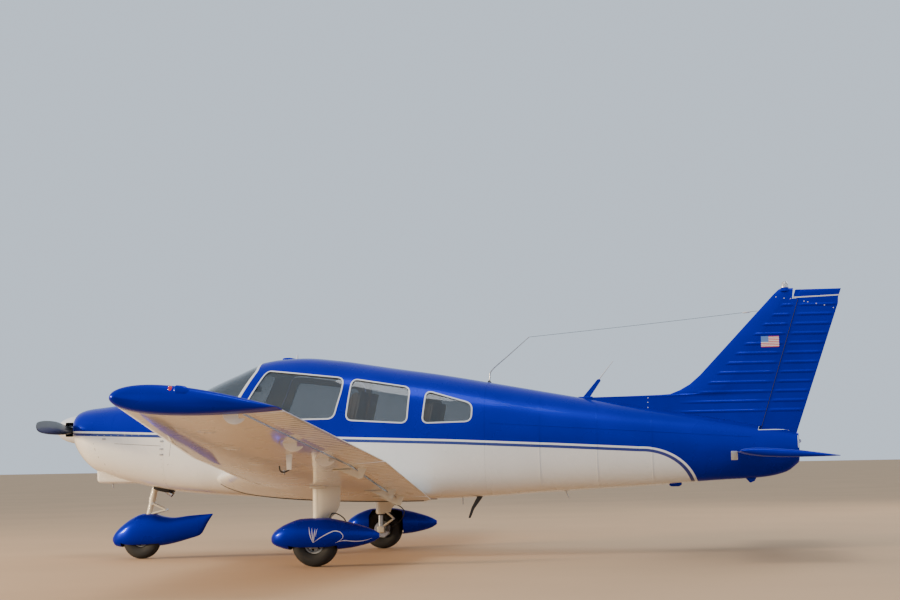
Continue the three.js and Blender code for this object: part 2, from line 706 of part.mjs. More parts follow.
function addStabilator() {
  const { rootY, tipY, front, back, thickness, hinge, tabFront, tabInner, tabOuter } = STABILATOR;
  const half = (side) => loft([
    slabRing(side * rootY, front, back, thickness),
    slabRing(side * (tipY - 40), front, back, thickness),
    slabRing(side * tipY, front + 26, back, thickness * 0.6),
  ]).subtract(stabilatorHollow(side));
  const both = half(LEFT).add(half(RIGHT));
  const axisZ = stabilatorHeight(hinge);
  const tube = bar([hinge, -rootY - 20, axisZ], [hinge, rootY + 20, axisZ], 24, 24, 16);
  const tabZ = stabilatorHeight(tabFront);
  const nose = 13;
  const zone = (side, extra) => {
    const [low, high] = side === RIGHT ? [tabInner, tabOuter] : [-tabOuter, -tabInner];
    const aft = box(tabFront - extra, 7200, low - extra, high + extra, 700, 1000);
    const radius = nose + extra;
    const round = bar([tabFront, low - extra, tabZ], [tabFront, high + extra, tabZ], radius, radius, 16);
    return aft.add(round);
  };
  const fixed = both.subtract(zone(LEFT, CONTROL_GAP - 1)).subtract(zone(RIGHT, CONTROL_GAP - 1)).add(tube);
  addPiece('stabilator', fixed, BLUE);
  const tabs = both.intersect(zone(LEFT, 0).add(zone(RIGHT, 0)));
  const link = bar([tabFront, -tabInner - 10, tabZ], [tabFront, tabInner + 10, tabZ], 9, 9, 12);
  addPiece('stabilator_tab', tabs.add(link), BLUE);
}

const TAIL_WALL = 5;
const TAIL_HOLLOW_END = 6440;

// The tail cone is a closed body with a slot for the stabilator's tube and tab link
function addTailCone() {
  const cone = fuselage(CABIN_END_STATION + SEAM, TAIL_END_STATION)
    .subtract(fuselage(CABIN_END_STATION - 10, TAIL_HOLLOW_END, -TAIL_WALL));
  const hingeZ = stabilatorHeight(STABILATOR.hinge);
  const hole = bar([STABILATOR.hinge, -400, hingeZ], [STABILATOR.hinge, 400, hingeZ], 31, 31, 20);
  const radius = RUDDER_NOSE + CONTROL_GAP;
  const low = RUDDER_BOTTOM - CONTROL_GAP;
  const rudderNose = bar(hingePoint(RUDDER_BOTTOM - RUDDER_NOSE), hingePoint(1400), radius, radius, 20);
  const rudderSeat = acrossPrism([[6480, low], [8000, low], [8000, 1400], [6580, 1400]], -300, 300);
  const light = bar([TAIL_END_STATION - 10, 0, 975], [TAIL_END_STATION + 22, 0, 975], 20, 14, 16);
  const skid = acrossPrism([[6330, 700], [6470, 700], [6440, 628], [6400, 612]], -5, 5);
  const body = cone.subtract(hole).subtract(rudderNose).subtract(rudderSeat)
    .add(light).add(skid);
  addPiece('tail_cone', body, WHITE);
}

// Antennas: bent rods on small streamlined feet

function roofAntenna() {
  const foot = bar([4092, 0, 1545], [4096, 0, 1575], 20, 12, 12);
  return foot.intersect(box(0, CABIN_END_STATION, -100, 100, 0, 3000))
    .add(bar([4088, 0, 1560], [4096, 0, 1666], 6, 5, 8))
    .add(bar([4096, 0, 1664], [4465, 0, 1957], 5, 3, 8));
}

function spineAntenna() {
  return acrossPrism([[4900, 1380], [5020, 1370], [5100, 1552], [5072, 1560]], -7, 7)
    .add(bar([5076, 0, 1548], [5219, 0, 1720], 5, 3, 8));
}

function bellyAntenna() {
  const blade = [[3985, 540], [4040, 540], [3950, 420], [3915, 338], [3895, 338], [3925, 430]];
  return acrossPrism(blade, -106, -94)
    .add(bar([3849, -100, 540], [3849, -100, 459], 7, 6, 8));
}

// Wing

// Half the thickness of the trailing edge
const TRAILING_HALF = 3;

function wingRing(row, side) {
  const [y, front, frontZ, back, backZ, thickness] = row;
  const count = 9;
  const chordTurn = Math.atan2(backZ - frontZ, back - front);
  const [sine, cosine] = [Math.sin(chordTurn), Math.cos(chordTurn)];
  const edge = (sign) => {
    const points = [];
    for (let i = 0; i <= count; i += 1) {
      const part = (1 - Math.cos((Math.PI * i) / count)) / 2;
      const half = thickness * profileHalf(part) * (sign > 0 ? 1.12 : 0.88) + TRAILING_HALF * part;
      const s = front + (back - front) * part - sign * half * sine;
      points.push([s, side * y, frontZ + (backZ - frontZ) * part + sign * half * cosine]);
    }
    return points;
  };
  return [...edge(1), ...edge(-1).slice(1).reverse()];
}

function wingRow(y) {
  return [y, ...[1, 2, 3, 4, 5].map((column) => readTable(WING, y, column))];
}

function wingSolid(side, from, to) {
  return loft(tableKeys(WING, from, to).map((y) => wingRing(wingRow(y), side)));
}

function wingMidHeight(y, station) {
  const [, front, frontZ, back, backZ, thickness] = wingRow(y);
  const part = (station - front) / (back - front);
  return frontZ + (backZ - frontZ) * part + thickness * profileHalf(part) * 0.12;
}

function wingHalfThickness(y, station) {
  const [, front, , back, , thickness] = wingRow(y);
  const part = (station - front) / (back - front);
  return thickness * profileHalf(part) + TRAILING_HALF * part;
}

// One hinged surface: its nose bar and the zone aft of it. The wing's cut for it is roomier,
// and longer because the surface shifts along the wing as it turns about its sloping hinge.
function hingedZone(surface, side, cut) {
  const { inner, outer, hingeInner, hingeOuter } = surface;
  const gap = cut ? CONTROL_GAP : 0;
  const endGap = cut ? END_GAP : 0;
  const noseGap = cut ? NOSE_GAP : -1;
  const [y0, y1] = [inner - endGap, outer + endGap];
  const place = (y, station) => [station, side * y, wingMidHeight(y, station)];
  const nose = bar(
    place(y0, hingeInner), place(y1, hingeOuter),
    wingHalfThickness(inner, hingeInner) + noseGap, wingHalfThickness(outer, hingeOuter) + noseGap, 24,
  );
  const corners = [
    [hingeInner - gap, side * y0], [3800, side * y0], [3800, side * y1], [hingeOuter - gap, side * y1],
  ];
  return uprightPrism(side === RIGHT ? corners : corners.reverse(), 300, 1600).add(nose);
}

const FLAP_DROP = 60;
const FLAP_AXIS_STATION = 3375;
const FLAP_BRACKETS = [700, 1100, 2365];

function lowerSurface(y, station) {
  return wingMidHeight(y, station) - wingHalfThickness(y, station);
}

function flapAxisHeight(y) {
  return lowerSurface(y, FLAP.hingeInner) - FLAP_DROP;
}

// A triangular plate under the wing that holds the flap's pin
function flapBracket(side, y) {
  const z = flapAxisHeight(y);
  const top = (s) => lowerSurface(y, s) + 14;
  const outline = [
    [3150, top(3150)], [3290, top(3290)], [FLAP_AXIS_STATION + 18, z + 16],
    [FLAP_AXIS_STATION + 18, z - 14], [FLAP_AXIS_STATION - 16, z - 18],
  ];
  return acrossPrism(outline, ...span(side, y - 8, y + 8));
}

// The arm on the flap beside it
function flapArm(side, y) {
  const z = flapAxisHeight(y);
  const top = (s) => lowerSurface(y, s) + 16;
  const outline = [
    [3352, top(3352)], [3430, top(3430)],
    [FLAP_AXIS_STATION + 16, z - 10], [FLAP_AXIS_STATION - 16, z - 10],
  ];
  return acrossPrism(outline, ...span(side, y + 16, y + 26));
}

function span(side, near, far) {
  return side === RIGHT ? [near, far] : [-far, -near];
}

const AILERON_HINGES = [3010, 3860, 5135];

function aileronHingeStation(y) {
  const { inner, outer, hingeInner, hingeOuter } = AILERON;
  return hingeInner + ((hingeOuter - hingeInner) * (y - inner)) / (outer - inner);
}

const COVER_RADIUS = 82;

// The half-round covers under the aileron's hinges
function hingeCover(side, y) {
  const hinge = aileronHingeStation(y);
  const front = hinge - wingHalfThickness(y, hinge) - NOSE_GAP - 2;
  const station = front - 24;
  const z = lowerSurface(y, station) + 6;
  const [near, far] = [[station, side * (y - 11), z], [station, side * (y + 11), z]];
  const disc = bar(near, far, COVER_RADIUS, COVER_RADIUS, 20);
  return disc.intersect(box(3000, front, side * y - 200, side * y + 200, 0, 3000));
}

function pitotMast() {
  const y = 3300;
  const z = lowerSurface(y, 2990);
  const mast = [[3004, z + 20], [3056, z + 20], [3046, z - 112], [3012, z - 112]];
  const blade = acrossPrism(mast, -y - 6, -y + 6);
  return blade.add(bar([2956, -y, z - 108], [3030, -y, z - 108], 8, 8, 12));
}

function tieDown(side) {
  const z = lowerSurface(2400, 2770);
  return bar([2770, side * 2400, z + 20], [2770, side * 2400, z - 34], 12, 12, 12);
}

function addWing(side, word) {
  const panel = wingSolid(side, WING_ROOT_Y, TIP_JOINT_Y);
  const trimmed = panel.subtract(wholeFuselage);
  let wing = trimmed.subtract(hingedZone(FLAP, side, true))
    .subtract(hingedZone(AILERON, side, true))
    .subtract(legSocket(side));
  FLAP_BRACKETS.forEach((y) => { wing = wing.add(flapBracket(side, y)); });
  AILERON_HINGES.forEach((y) => { wing = wing.add(hingeCover(side, y)); });
  wing = wing.add(tieDown(side));
  if (side === LEFT) wing = wing.add(pitotMast());
  addPiece(`wing_${word}`, wing, WHITE);

  let flap = trimmed.intersect(hingedZone(FLAP, side, false));
  FLAP_BRACKETS.forEach((y) => { flap = flap.add(flapArm(side, y)); });
  addPiece(`flap_${word}`, flap, WHITE);
  addPiece(`aileron_${word}`, trimmed.intersect(hingedZone(AILERON, side, false)), WHITE);

  const lamp = bar([2755, side * 5300, 1270], [2755, side * 5303, 1340], 18, 12, 12);
  addPiece(`wingtip_${word}`, wingSolid(side, TIP_JOINT_Y + SEAM, SPAN / 2).add(lamp), BLUE);
}

// Landing gear

const LEG_Y = 1392;
const LEG_STATION = MAIN_WHEEL_STATION;
const LEG_BOTTOM = 345;
const PISTON_RADIUS = 26;
const AXLE_RADIUS = 18;

function legTop(y, station) {
  return lowerSurface(y, station) + 60;
}

// A pocket in the wing where the leg goes in
function legSocket(side) {
  const top = legTop(LEG_Y, LEG_STATION);
  return legFairing(side, SEAM, top + SEAM).add(bar(
    [LEG_STATION, side * LEG_Y, 300], [LEG_STATION, side * LEG_Y, top + SEAM], 46 + SEAM, 46 + SEAM, 24,
  ));
}

// The streamlined leg cover: station and height in the side view, broader at the wing
function legFairing(side, grow, top) {
  const outline = [
    [2764 - grow, LEG_BOTTOM + 14 - grow], [2764 - grow, top], [3000 + grow, top],
    [3004 + grow, 640], [2998 + grow, 520], [2975 + grow, 425], [2925 + grow, LEG_BOTTOM + 14 - grow],
  ];
  return acrossPrism(outline, ...span(side, LEG_Y - 30 - grow, LEG_Y + 30 + grow));
}

function torqueLink(side) {
  const y = side * LEG_Y;
  const upper = bar([2845, y, 385], [2945, y, 296], 13, 10, 10);
  const lower = bar([2945, y, 296], [2838, y, 222], 10, 13, 10);
  return upper.add(lower);
}

function addMainLeg(side, word) {
  const y = side * LEG_Y;
  const top = legTop(LEG_Y, LEG_STATION);
  const z = MAIN_TYRE_RADIUS;
  const housing = bar([LEG_STATION, y, LEG_BOTTOM], [LEG_STATION, y, top], 46, 46, 24);
  const pistonTop = [LEG_STATION, y, LEG_BOTTOM + 20];
  const axleEnd = [LEG_STATION, side * (MAIN_WHEEL_Y + 66), z];
  const piston = bar([LEG_STATION, y, z - 10], pistonTop, PISTON_RADIUS, PISTON_RADIUS, 20);
  const block = box(LEG_STATION - 36, LEG_STATION + 40, y - 24, y + 24, z - 32, z + 34);
  const axle = bar([LEG_STATION, y, z], axleEnd, AXLE_RADIUS, AXLE_RADIUS, 20);
  const leg = housing.add(piston).add(block).add(axle).add(legFairing(side, 0, top)).add(torqueLink(side));
  addPiece(`${word}_leg`, leg, CREAM);
}

// A tyre's half section: a round tread on a bead as wide as the rim
function tyreProfile(outer, width, bead) {
  const half = width / 2;
  const points = [];
  for (let i = 0; i <= 8; i += 1) {
    const turn = -Math.PI / 2 + (Math.PI * i) / 8;
    const reach = outer - half * 0.9;
    points.push([reach + half * 0.9 * Math.cos(turn), half * Math.sin(turn)]);
  }
  return [[bead, -half * 0.62], ...points, [bead, half * 0.62]];
}

const WHEEL_SIDES = 24;

function wheel(prefix, station, y, outer, width, bead, hole) {
  const centre = [station, y, outer];
  const half = width * 0.31 - SEAM;
  const tyre = turned(tyreProfile(outer, width, bead), centre, [0, 1, 0], WHEEL_SIDES);
  addPiece(`${prefix}_tyre`, tyre, RUBBER);
  const rim = [
    [hole, -half], [bead * 0.5, -half], [bead * 0.66, -half * 0.45], [bead * 0.84, -half * 0.45],
    [bead - SEAM, -half], [bead - SEAM, half], [bead * 0.84, half * 0.45], [bead * 0.66, half * 0.45],
    [bead * 0.5, half], [hole, half],
  ];
  addPiece(`${prefix}_rim`, turned(rim, centre, [0, 1, 0], WHEEL_SIDES), METAL);
}

// Wheel fairings: station, bottom, top, half width
const MAIN_FAIRING = [
  [2445, 205, 250, 18],
  [2462, 186, 280, 50],
  [2500, 168, 312, 84],
  [2581, 143, 357, 116],
  [2708, 132, 395, 132],
  [2876, 132, 400, 134],
  [3085, 148, 366, 112],
  [3210, 172, 332, 78],
  [3300, 200, 299, 44],
  [3352, 232, 270, 14],
];
const NOSE_FAIRING = [
  [546, 158, 202, 16],
  [575, 122, 244, 52],
  [652, 108, 316, 92],
  [748, 108, 379, 118],
  [844, 110, 414, 124],
  [939, 114, 413, 122],
  [1034, 122, 388, 112],
  [1130, 140, 376, 92],
  [1272, 178, 391, 58],
  [1385, 216, 399, 30],
  [1452, 325, 403, 16],
  [1500, 396, 407, 6],
];

function fairingRing([station, bottom, top, half], y, shrink) {
  const count = 16;
  const ring = [];
  for (let i = 0; i < count; i += 1) {
    const turn = (2 * Math.PI * i) / count;
    const power = 2 / 2.5;
    const softened = (value) => Math.sign(value) * Math.abs(value) ** power;
    const across = softened(Math.cos(turn)) * Math.max(half - shrink, 2);
    const up = softened(Math.sin(turn)) * Math.max((top - bottom) / 2 - shrink, 2);
    ring.push([station, y + across, (top + bottom) / 2 + up]);
  }
  return ring;
}

const FAIRING_WALL = 5;

function fairingShell(table, y, innerRows) {
  const outer = loft(table.map((row) => fairingRing(row, y, 0)));
  const inner = loft(innerRows.map((row) => fairingRing(row, y, FAIRING_WALL)));
  return outer.subtract(inner);
}

// Open below for the tyre, and inboard for the leg
function addMainFairing(side, word) {
  const y = side * MAIN_WHEEL_Y;
  const rows = MAIN_FAIRING.slice(2, -1);
  const well = box(2606, 3014, y - 100, y + 100, 0, 220);
  const inboard = side * (MAIN_WHEEL_Y - 70);
  const [low, high] = side === RIGHT ? [0, inboard] : [inboard, 0];
  const outline = [[2690, 60], [2690, 330], [2740, 420], [2990, 420], [3030, 330], [3030, 60]];
  const cutout = acrossPrism(outline, low, high);
  const shellPiece = fairingShell(MAIN_FAIRING, y, rows).subtract(well).subtract(cutout);
  addPiece(`${word}_wheel_fairing`, shellPiece, BLUE);
}

// The nose leg leans forward towards its foot. The strut, fork and links turn together to steer.
const STRUT_TOP = [952, 0, 655];
const STRUT_FOOT = [850, 0, 236];
const FORK_HALF = 76;

function strutPoint(height) {
  const part = (height - STRUT_FOOT[2]) / (STRUT_TOP[2] - STRUT_FOOT[2]);
  return [STRUT_FOOT[0] + (STRUT_TOP[0] - STRUT_FOOT[0]) * part, 0, height];
}

function addNoseGear() {
  const mountFrom = strutPoint(668);
  const mountTo = strutPoint(890);
  const mount = bar(mountFrom, mountTo, 38, 38, 20)
    .add(bar(strutPoint(860), [ENGINE_MOUNT_STATION, 120, 860], 14, 14, 8))
    .add(bar(strutPoint(860), [ENGINE_MOUNT_STATION, -120, 860], 14, 14, 8));
  addPiece('nose_leg_mount', mount, METAL);

  const z = NOSE_TYRE_RADIUS;
  const crownZ = 361;
  const crown = strutPoint(crownZ);
  const upper = bar(strutPoint(520), strutPoint(662), 30, 30, 20);
  const lower = bar(crown, strutPoint(540), 23, 23, 20);
  const bridge = box(crown[0] - 30, crown[0] + 30, -FORK_HALF - 6, FORK_HALF + 6, crownZ - 7, crownZ + 8);
  const blades = [LEFT, RIGHT].map((side) => {
    const outline = [
      [crown[0] - 26, crownZ], [crown[0] + 26, crownZ],
      [NOSE_WHEEL_STATION + 22, z - 20], [NOSE_WHEEL_STATION - 22, z - 20],
    ];
    return acrossPrism(outline, ...span(side, FORK_HALF - 6, FORK_HALF + 6));
  });
  const axle = bar([NOSE_WHEEL_STATION, -FORK_HALF, z], [NOSE_WHEEL_STATION, FORK_HALF, z], 13, 13, 16);
  const [linkTop, linkApex, linkFoot] = [[940, 0, 530], [1062, 0, 478], [906, 0, 420]];
  const link = bar(linkTop, linkApex, 10, 9, 10).add(bar(linkApex, linkFoot, 9, 10, 10));
  const fork = [lower, bridge, ...blades, axle, link].reduce((sum, piece) => sum.add(piece), upper);
  addPiece('nose_fork', fork, CREAM);

  const rows = NOSE_FAIRING.slice(1, -3);
  const well = box(640, 1006, -78, 78, 0, 190);
  const strutCut = bar(strutPoint(330), strutPoint(520), 42, 42, 20);
  const fairing = fairingShell(NOSE_FAIRING, 0, rows).subtract(well).subtract(strutCut);
  addPiece('nose_wheel_fairing', fairing, BLUE);
}

addCowling();
addEngine();
addPropeller();
addCabinShell();
addGlazing();
addDoors();
addCabinInside();
addSeats();
addTailCone();
addFin();
addRudder();
addStabilator();
[[LEFT, 'left'], [RIGHT, 'right']].forEach(([side, word]) => {
  addWing(side, word);
  addMainLeg(side, word);
  addMainFairing(side, word);
  wheel(word, MAIN_WHEEL_STATION, side * MAIN_WHEEL_Y, MAIN_TYRE_RADIUS, 156, 84, AXLE_RADIUS + 5);
});
addNoseGear();
wheel('nose', NOSE_WHEEL_STATION, 0, NOSE_TYRE_RADIUS, 122, 68, 18);

export default aircraft;
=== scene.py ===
"""Looks of a light aircraft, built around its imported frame.

The frame's axes: +X runs aft, +Y to the right wing, +Z up, in metres. The tables below repeat the
part's own: stations run aft from the tip of the spinner and heights up from the ground, both in
millimetres, and to_frame turns them into the frame.
"""

import math
from contextlib import contextmanager

import bmesh
import bpy
import numpy as np
from mathutils import Matrix, Vector
from mathutils.bvhtree import BVHTree


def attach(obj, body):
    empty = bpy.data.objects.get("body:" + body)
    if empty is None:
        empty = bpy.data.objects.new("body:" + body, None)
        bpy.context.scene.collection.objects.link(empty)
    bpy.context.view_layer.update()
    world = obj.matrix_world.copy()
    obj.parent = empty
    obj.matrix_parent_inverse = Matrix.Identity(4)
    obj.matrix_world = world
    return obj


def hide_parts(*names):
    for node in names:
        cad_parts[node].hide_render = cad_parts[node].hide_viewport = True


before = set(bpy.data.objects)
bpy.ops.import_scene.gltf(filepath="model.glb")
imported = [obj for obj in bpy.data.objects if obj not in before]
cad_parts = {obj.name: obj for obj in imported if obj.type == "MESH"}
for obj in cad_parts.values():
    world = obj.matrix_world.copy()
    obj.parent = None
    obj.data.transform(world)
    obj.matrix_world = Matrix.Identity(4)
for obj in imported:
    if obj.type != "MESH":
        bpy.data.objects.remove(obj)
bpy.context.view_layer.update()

MM = 0.001
MID_STATION = 3624
LEFT, RIGHT = -1, 1
SIDES = ((LEFT, "left"), (RIGHT, "right"))
AFT, ACROSS, UP, DOWN = (1, 0, 0), (0, 1, 0), (0, 0, 1), (0, 0, -1)
# A turned outline ends this close to its axis, so that its end points melt into one
AXIS = 0.01

# Sizes

THRUST_LINE = 1203
FIREWALL, CABIN_END, TAIL_END, COWL_FRONT = 1190, 4100, 6835, 255
WALL, COWL_WALL, DOOR_GAP, CONTROL_GAP, NOSE_GAP, END_GAP = 30, 18, 9, 8, 11, 18

# Station, bottom, top, half width, height of the widest place, upper power, lower power
FUSELAGE = np.array([
    (255, 1040, 1338, 290, 1190, 2.6, 2.4),
    (310, 950, 1372, 385, 1180, 2.6, 2.5),
    (380, 868, 1390, 435, 1160, 2.6, 2.7),
    (480, 800, 1401, 465, 1130, 2.6, 3.0),
    (650, 745, 1419, 485, 1100, 2.6, 3.2),
    (900, 680, 1443, 500, 1080, 2.6, 3.4),
    (1190, 622, 1472, 515, 1060, 2.6, 3.6),
    (1390, 600, 1503, 530, 1060, 2.7, 3.8),
    (1560, 586, 1583, 540, 1060, 2.8, 4.0),
    (1800, 568, 1686, 547, 1060, 2.9, 4.0),
    (2054, 552, 1783, 550, 1060, 3.0, 4.0),
    (2200, 543, 1804, 550, 1060, 3.0, 4.0),
    (2400, 530, 1812, 550, 1060, 3.0, 4.0),
    (2715, 518, 1784, 550, 1060, 3.0, 4.0),
    (3000, 515, 1739, 548, 1060, 3.0, 4.0),
    (3300, 515, 1690, 542, 1060, 2.9, 4.0),
    (3650, 517, 1635, 522, 1055, 2.8, 3.9),
    (4100, 532, 1553, 470, 1045, 2.6, 3.7),
    (4560, 560, 1466, 402, 1030, 2.4, 3.4),
    (5060, 584, 1372, 335, 1005, 2.3, 3.1),
    (5540, 607, 1288, 268, 980, 2.2, 2.9),
    (6100, 641, 1196, 192, 950, 2.2, 2.7),
    (6500, 660, 1118, 138, 925, 2.2, 2.6),
    (6720, 706, 1075, 108, 915, 2.2, 2.5),
    (6835, 790, 1050, 92, 915, 2.2, 2.4),
], float)

# Y, leading edge station and height, trailing edge station and height, thickness
WING = np.array([
    (360, 1600, 712, 3607, 505, 232),
    (600, 1745, 740, 3607, 545, 236),
    (1050, 2007, 785, 3607, 617, 240),
    (2550, 2007, 972, 3607, 849, 240),
    (5200, 2346.8, 1258.4, 3448.9, 1178.1, 163.1),
    (5240, 2352, 1266, 3447, 1185, 174),
    (5290, 2360, 1273, 3444, 1191, 176),
    (5320, 2378, 1277, 3438, 1195, 126),
    (5334, 2410, 1279, 3420, 1198, 60),
], float)
WING_ROOT_Y, TIP_JOINT_Y = 400, 5200
TRAILING_HALF = 3
AILERON = {"inner": 2618, "outer": 5155, "hinge_inner": 3335, "hinge_outer": 3217.1}
FLAP = {"inner": 640, "outer": 2590, "hinge_inner": 3345, "hinge_outer": 3345}
FLAP_DROP, FLAP_AXIS = 60, 3375
FLAP_BRACKETS = (700, 1100, 2365)
AILERON_HINGES = (3010, 3860, 5178)
TIE_DOWN, PITOT_Y, FUEL_CAP = (2770, 2400), 3300, (2330, 1800)
INSPECTION_COVERS = ((2700, 1900), (2650, 2800), (2700, 3650), (2760, 4500))
WALKWAY_S, WALKWAY_Y, ROOT_SEAL_S = (2120, 3300), (610, 960), (1720, 3540)

# Propeller: radius, chord, thickness, blade angle
BLADE = np.array([
    (40, 62, 44, 50),
    (130, 92, 34, 44),
    (240, 122, 24, 36),
    (420, 140, 17, 27),
    (640, 134, 13, 20),
    (820, 112, 9, 17),
    (905, 84, 7, 16),
    (940, 44, 5, 15),
], float)
BLADE_STATION, SPINNER_BACK, SPINNER_RADIUS = 168, 243, 131

# Side-view outlines as station and height
WINDSHIELD = [(1388, 1498), (1795, 1272), (2020, 1672), (2030, 1700), (2030, 1900), (1380, 1900)]
FRONT_WINDOW = [(1880, 1246), (2135, 1684), (2222, 1676), (2838, 1604), (2832, 1500), (2760, 1246)]
MIDDLE_WINDOW = [(2878, 1230), (2926, 1592), (3438, 1506), (3416, 1194)]
REAR_WINDOW = [(3560, 1190), (3592, 1472), (3990, 1352), (3982, 1198)]
DOOR = [(1995, 975), (1995, 1300), (2172, 1658), (2250, 1668), (2856, 1590), (2856, 975)]
DOOR_WINDOW = [(2058, 1262), (2218, 1608), (2255, 1612), (2792, 1544), (2792, 1262)]
BAGGAGE_DOOR = [(3600, 770), (3600, 1130), (4030, 1130), (4030, 770)]
CENTRE_POST = 20
WINDOW_ROUNDING, DOOR_WINDOW_ROUNDING = 55, 50

# Fin: height, leading edge station, half thickness
FIN = np.array([
    (1110, 4820, 16),
    (1380, 4840, 20),
    (1398, 4900, 24),
    (1404, 5560, 31),
    (1412, 5719, 34),
    (1446, 5808, 40),
    (1497, 5898, 43),
    (1575, 5989, 44),
    (1767, 6172, 41),
    (2150, 6536, 33),
    (2270, 6650, 29),
    (2328, 6712, 18),
], float)
FIN_TOP, FIN_BOTTOM, RUDDER_BOTTOM, RUDDER_NOSE = 2328, 1112, 1082, 26
RUDDER_HINGE = ((6519, 1102), (6871, 2220))
RUDDER_EDGE = np.array([(1052, 6821), (2183, 7217), (2240, 7221), (2315, 7248), (2400, 7248)], float)

STABILATOR = {
    "root": 186, "tip": 1960, "front": 6296, "back": 7058, "front_z": 889, "back_z": 839,
    "thickness": 66, "hinge": 6490, "tab_front": 6936, "tab_inner": 190, "tab_outer": 1400,
}

# Wheel fairings: station, bottom, top, half width
MAIN_FAIRING = np.array([
    (2445, 205, 250, 18),
    (2462, 186, 280, 50),
    (2500, 168, 312, 84),
    (2581, 143, 357, 116),
    (2708, 132, 395, 132),
    (2876, 132, 400, 134),
    (3085, 148, 366, 112),
    (3210, 172, 332, 78),
    (3300, 200, 299, 44),
    (3352, 232, 270, 14),
], float)
NOSE_FAIRING = np.array([
    (546, 158, 202, 16),
    (575, 122, 244, 52),
    (652, 108, 316, 92),
    (748, 108, 379, 118),
    (844, 110, 414, 124),
    (939, 114, 413, 122),
    (1034, 122, 388, 112),
    (1130, 140, 376, 92),
    (1272, 178, 391, 58),
    (1385, 216, 399, 30),
    (1452, 325, 403, 16),
    (1500, 396, 407, 6),
], float)
FAIRING_WALL = 5
NOSE_WHEEL, MAIN_WHEEL, MAIN_Y, LEG_Y = 824, 2813, 1525, 1392
NOSE_TYRE_RADIUS, MAIN_TYRE_RADIUS = 175, 190

# Meshes


def to_frame(points):
    """Station, Y and height in millimetres as points of the frame"""
    return (np.asarray(points, float) - (MID_STATION, 0, 0)) * MM


@contextmanager
def editing(mesh):
    """Opens a mesh for bmesh operators and writes it back"""
    work = bmesh.new()
    work.from_mesh(mesh)
    yield work
    work.to_mesh(mesh)
    work.free()


def linked(name, data):
    made = bpy.data.objects.new(name, data)
    bpy.context.scene.collection.objects.link(made)
    return made


def add_object(name, verts, faces, *materials):
    """A mesh object with its faces turned outwards"""
    mesh = bpy.data.meshes.new(name)
    mesh.from_pydata([tuple(v) for v in verts], [], faces)
    for material in materials:
        mesh.materials.append(material)
    with editing(mesh) as work:
        bmesh.ops.recalc_face_normals(work, faces=work.faces)
    return linked(name, mesh)


def ring_faces(rings, count, capped=True):
    """Quads between neighbouring rings of points, and the two end faces"""
    faces = []
    for a in range(0, (rings - 1) * count, count):
        for i in range(count):
            j = (i + 1) % count
            faces.append((a + i, a + j, a + count + j, a + count + i))
    if capped:
        faces.append(tuple(range(count)))
        faces.append(tuple(range((rings - 1) * count, rings * count)))
    return faces


def loft(name, grid, *materials):
    """A closed solid through rings of points in millimetres"""
    rings, count = grid.shape[:2]
    return add_object(name, to_frame(grid.reshape(-1, 3)), ring_faces(rings, count), *materials)


def apply_modifiers(made):
    """Gives the object the mesh that its modifiers make"""
    bpy.context.view_layer.update()
    mesh = bpy.data.meshes.new_from_object(made.evaluated_get(bpy.context.evaluated_depsgraph_get()))
    material = made.data.materials[0]
    made.modifiers.clear()
    made.data = mesh
    if not mesh.materials:
        mesh.materials.append(material)


def combine(made, how, *tools):
    """Cuts, joins or crosses a solid with others, which are used up"""
    for tool in tools:
        change = made.modifiers.new("combine", "BOOLEAN")
        change.operation, change.object = how, tool
        change.solver, change.material_mode = "EXACT", "TRANSFER"
    apply_modifiers(made)
    made.data.name = made.name
    for tool in tools:
        bpy.data.objects.remove(tool)
    return made


def cut(made, *tools):
    return combine(made, "DIFFERENCE", *tools)


def join(made, *tools):
    return combine(made, "UNION", *tools)


def cross(made, *tools):
    return combine(made, "INTERSECT", *tools)


def merge(name, parts):
    """One object out of several, which are used up. Their materials come along."""
    work = bmesh.new()
    materials = []
    for part in parts:
        first = len(work.faces)
        work.from_mesh(part.data)
        work.faces.ensure_lookup_table()
        for face in work.faces[first:]:
            material = part.data.materials[face.material_index]
            if material not in materials:
                materials.append(material)
            face.material_index = materials.index(material)
    mesh = bpy.data.meshes.new(name)
    work.to_mesh(mesh)
    work.free()
    for material in materials:
        mesh.materials.append(material)
    for part in parts:
        bpy.data.objects.remove(part)
    return linked(name, mesh)


def finish_piece(made, body="airframe", nodes=(), sharp=32, name=None):
    """Shades a piece and hands it to its body, in its nodes' place"""
    if name:
        made.name = name
    made.data.shade_smooth()
    made.data.set_sharp_from_angle(angle=math.radians(sharp))
    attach(made, body)
    if nodes:
        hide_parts(*nodes)
    return made


def copy_object(made, name):
    """A second object with a mesh of its own"""
    twin = made.copy()
    twin.data = made.data.copy()
    twin.name = name
    bpy.context.scene.collection.objects.link(twin)
    return twin


def between(side, near, far):
    """The span from near to far on one side of the centre line, lowest first"""
    return (near, far) if side == RIGHT else (-far, -near)


def box(low, high, *materials):
    (s0, y0, z0), (s1, y1, z1) = low, high
    grid = np.array([[(s, y0, z0), (s, y1, z0), (s, y1, z1), (s, y0, z1)] for s in (s0, s1)], float)
    return loft("box", grid, *materials)


def soft_box(low, high, rounding, *materials, steps=3):
    """A box with rounded edges"""
    made = box(low, high, *materials)
    with editing(made.data) as work:
        bmesh.ops.bevel(
            work, geom=work.edges, offset=rounding * MM, segments=steps, affect="EDGES", profile=0.5
        )
    return made


def rounded(corners, radius, steps=8):
    """The outline with its corners rounded off"""
    points = []
    for i, corner in enumerate(corners):
        here = np.array(corner, float)
        ends = []
        for other in (corners[i - 1], corners[(i + 1) % len(corners)]):
            run = np.array(other, float) - here
            ends.append(here + run * min(radius / np.hypot(*run), 0.45))
        for t in np.linspace(0, 1, steps):
            points.append((1 - t) ** 2 * ends[0] + 2 * t * (1 - t) * here + t**2 * ends[1])
    return np.array(points)


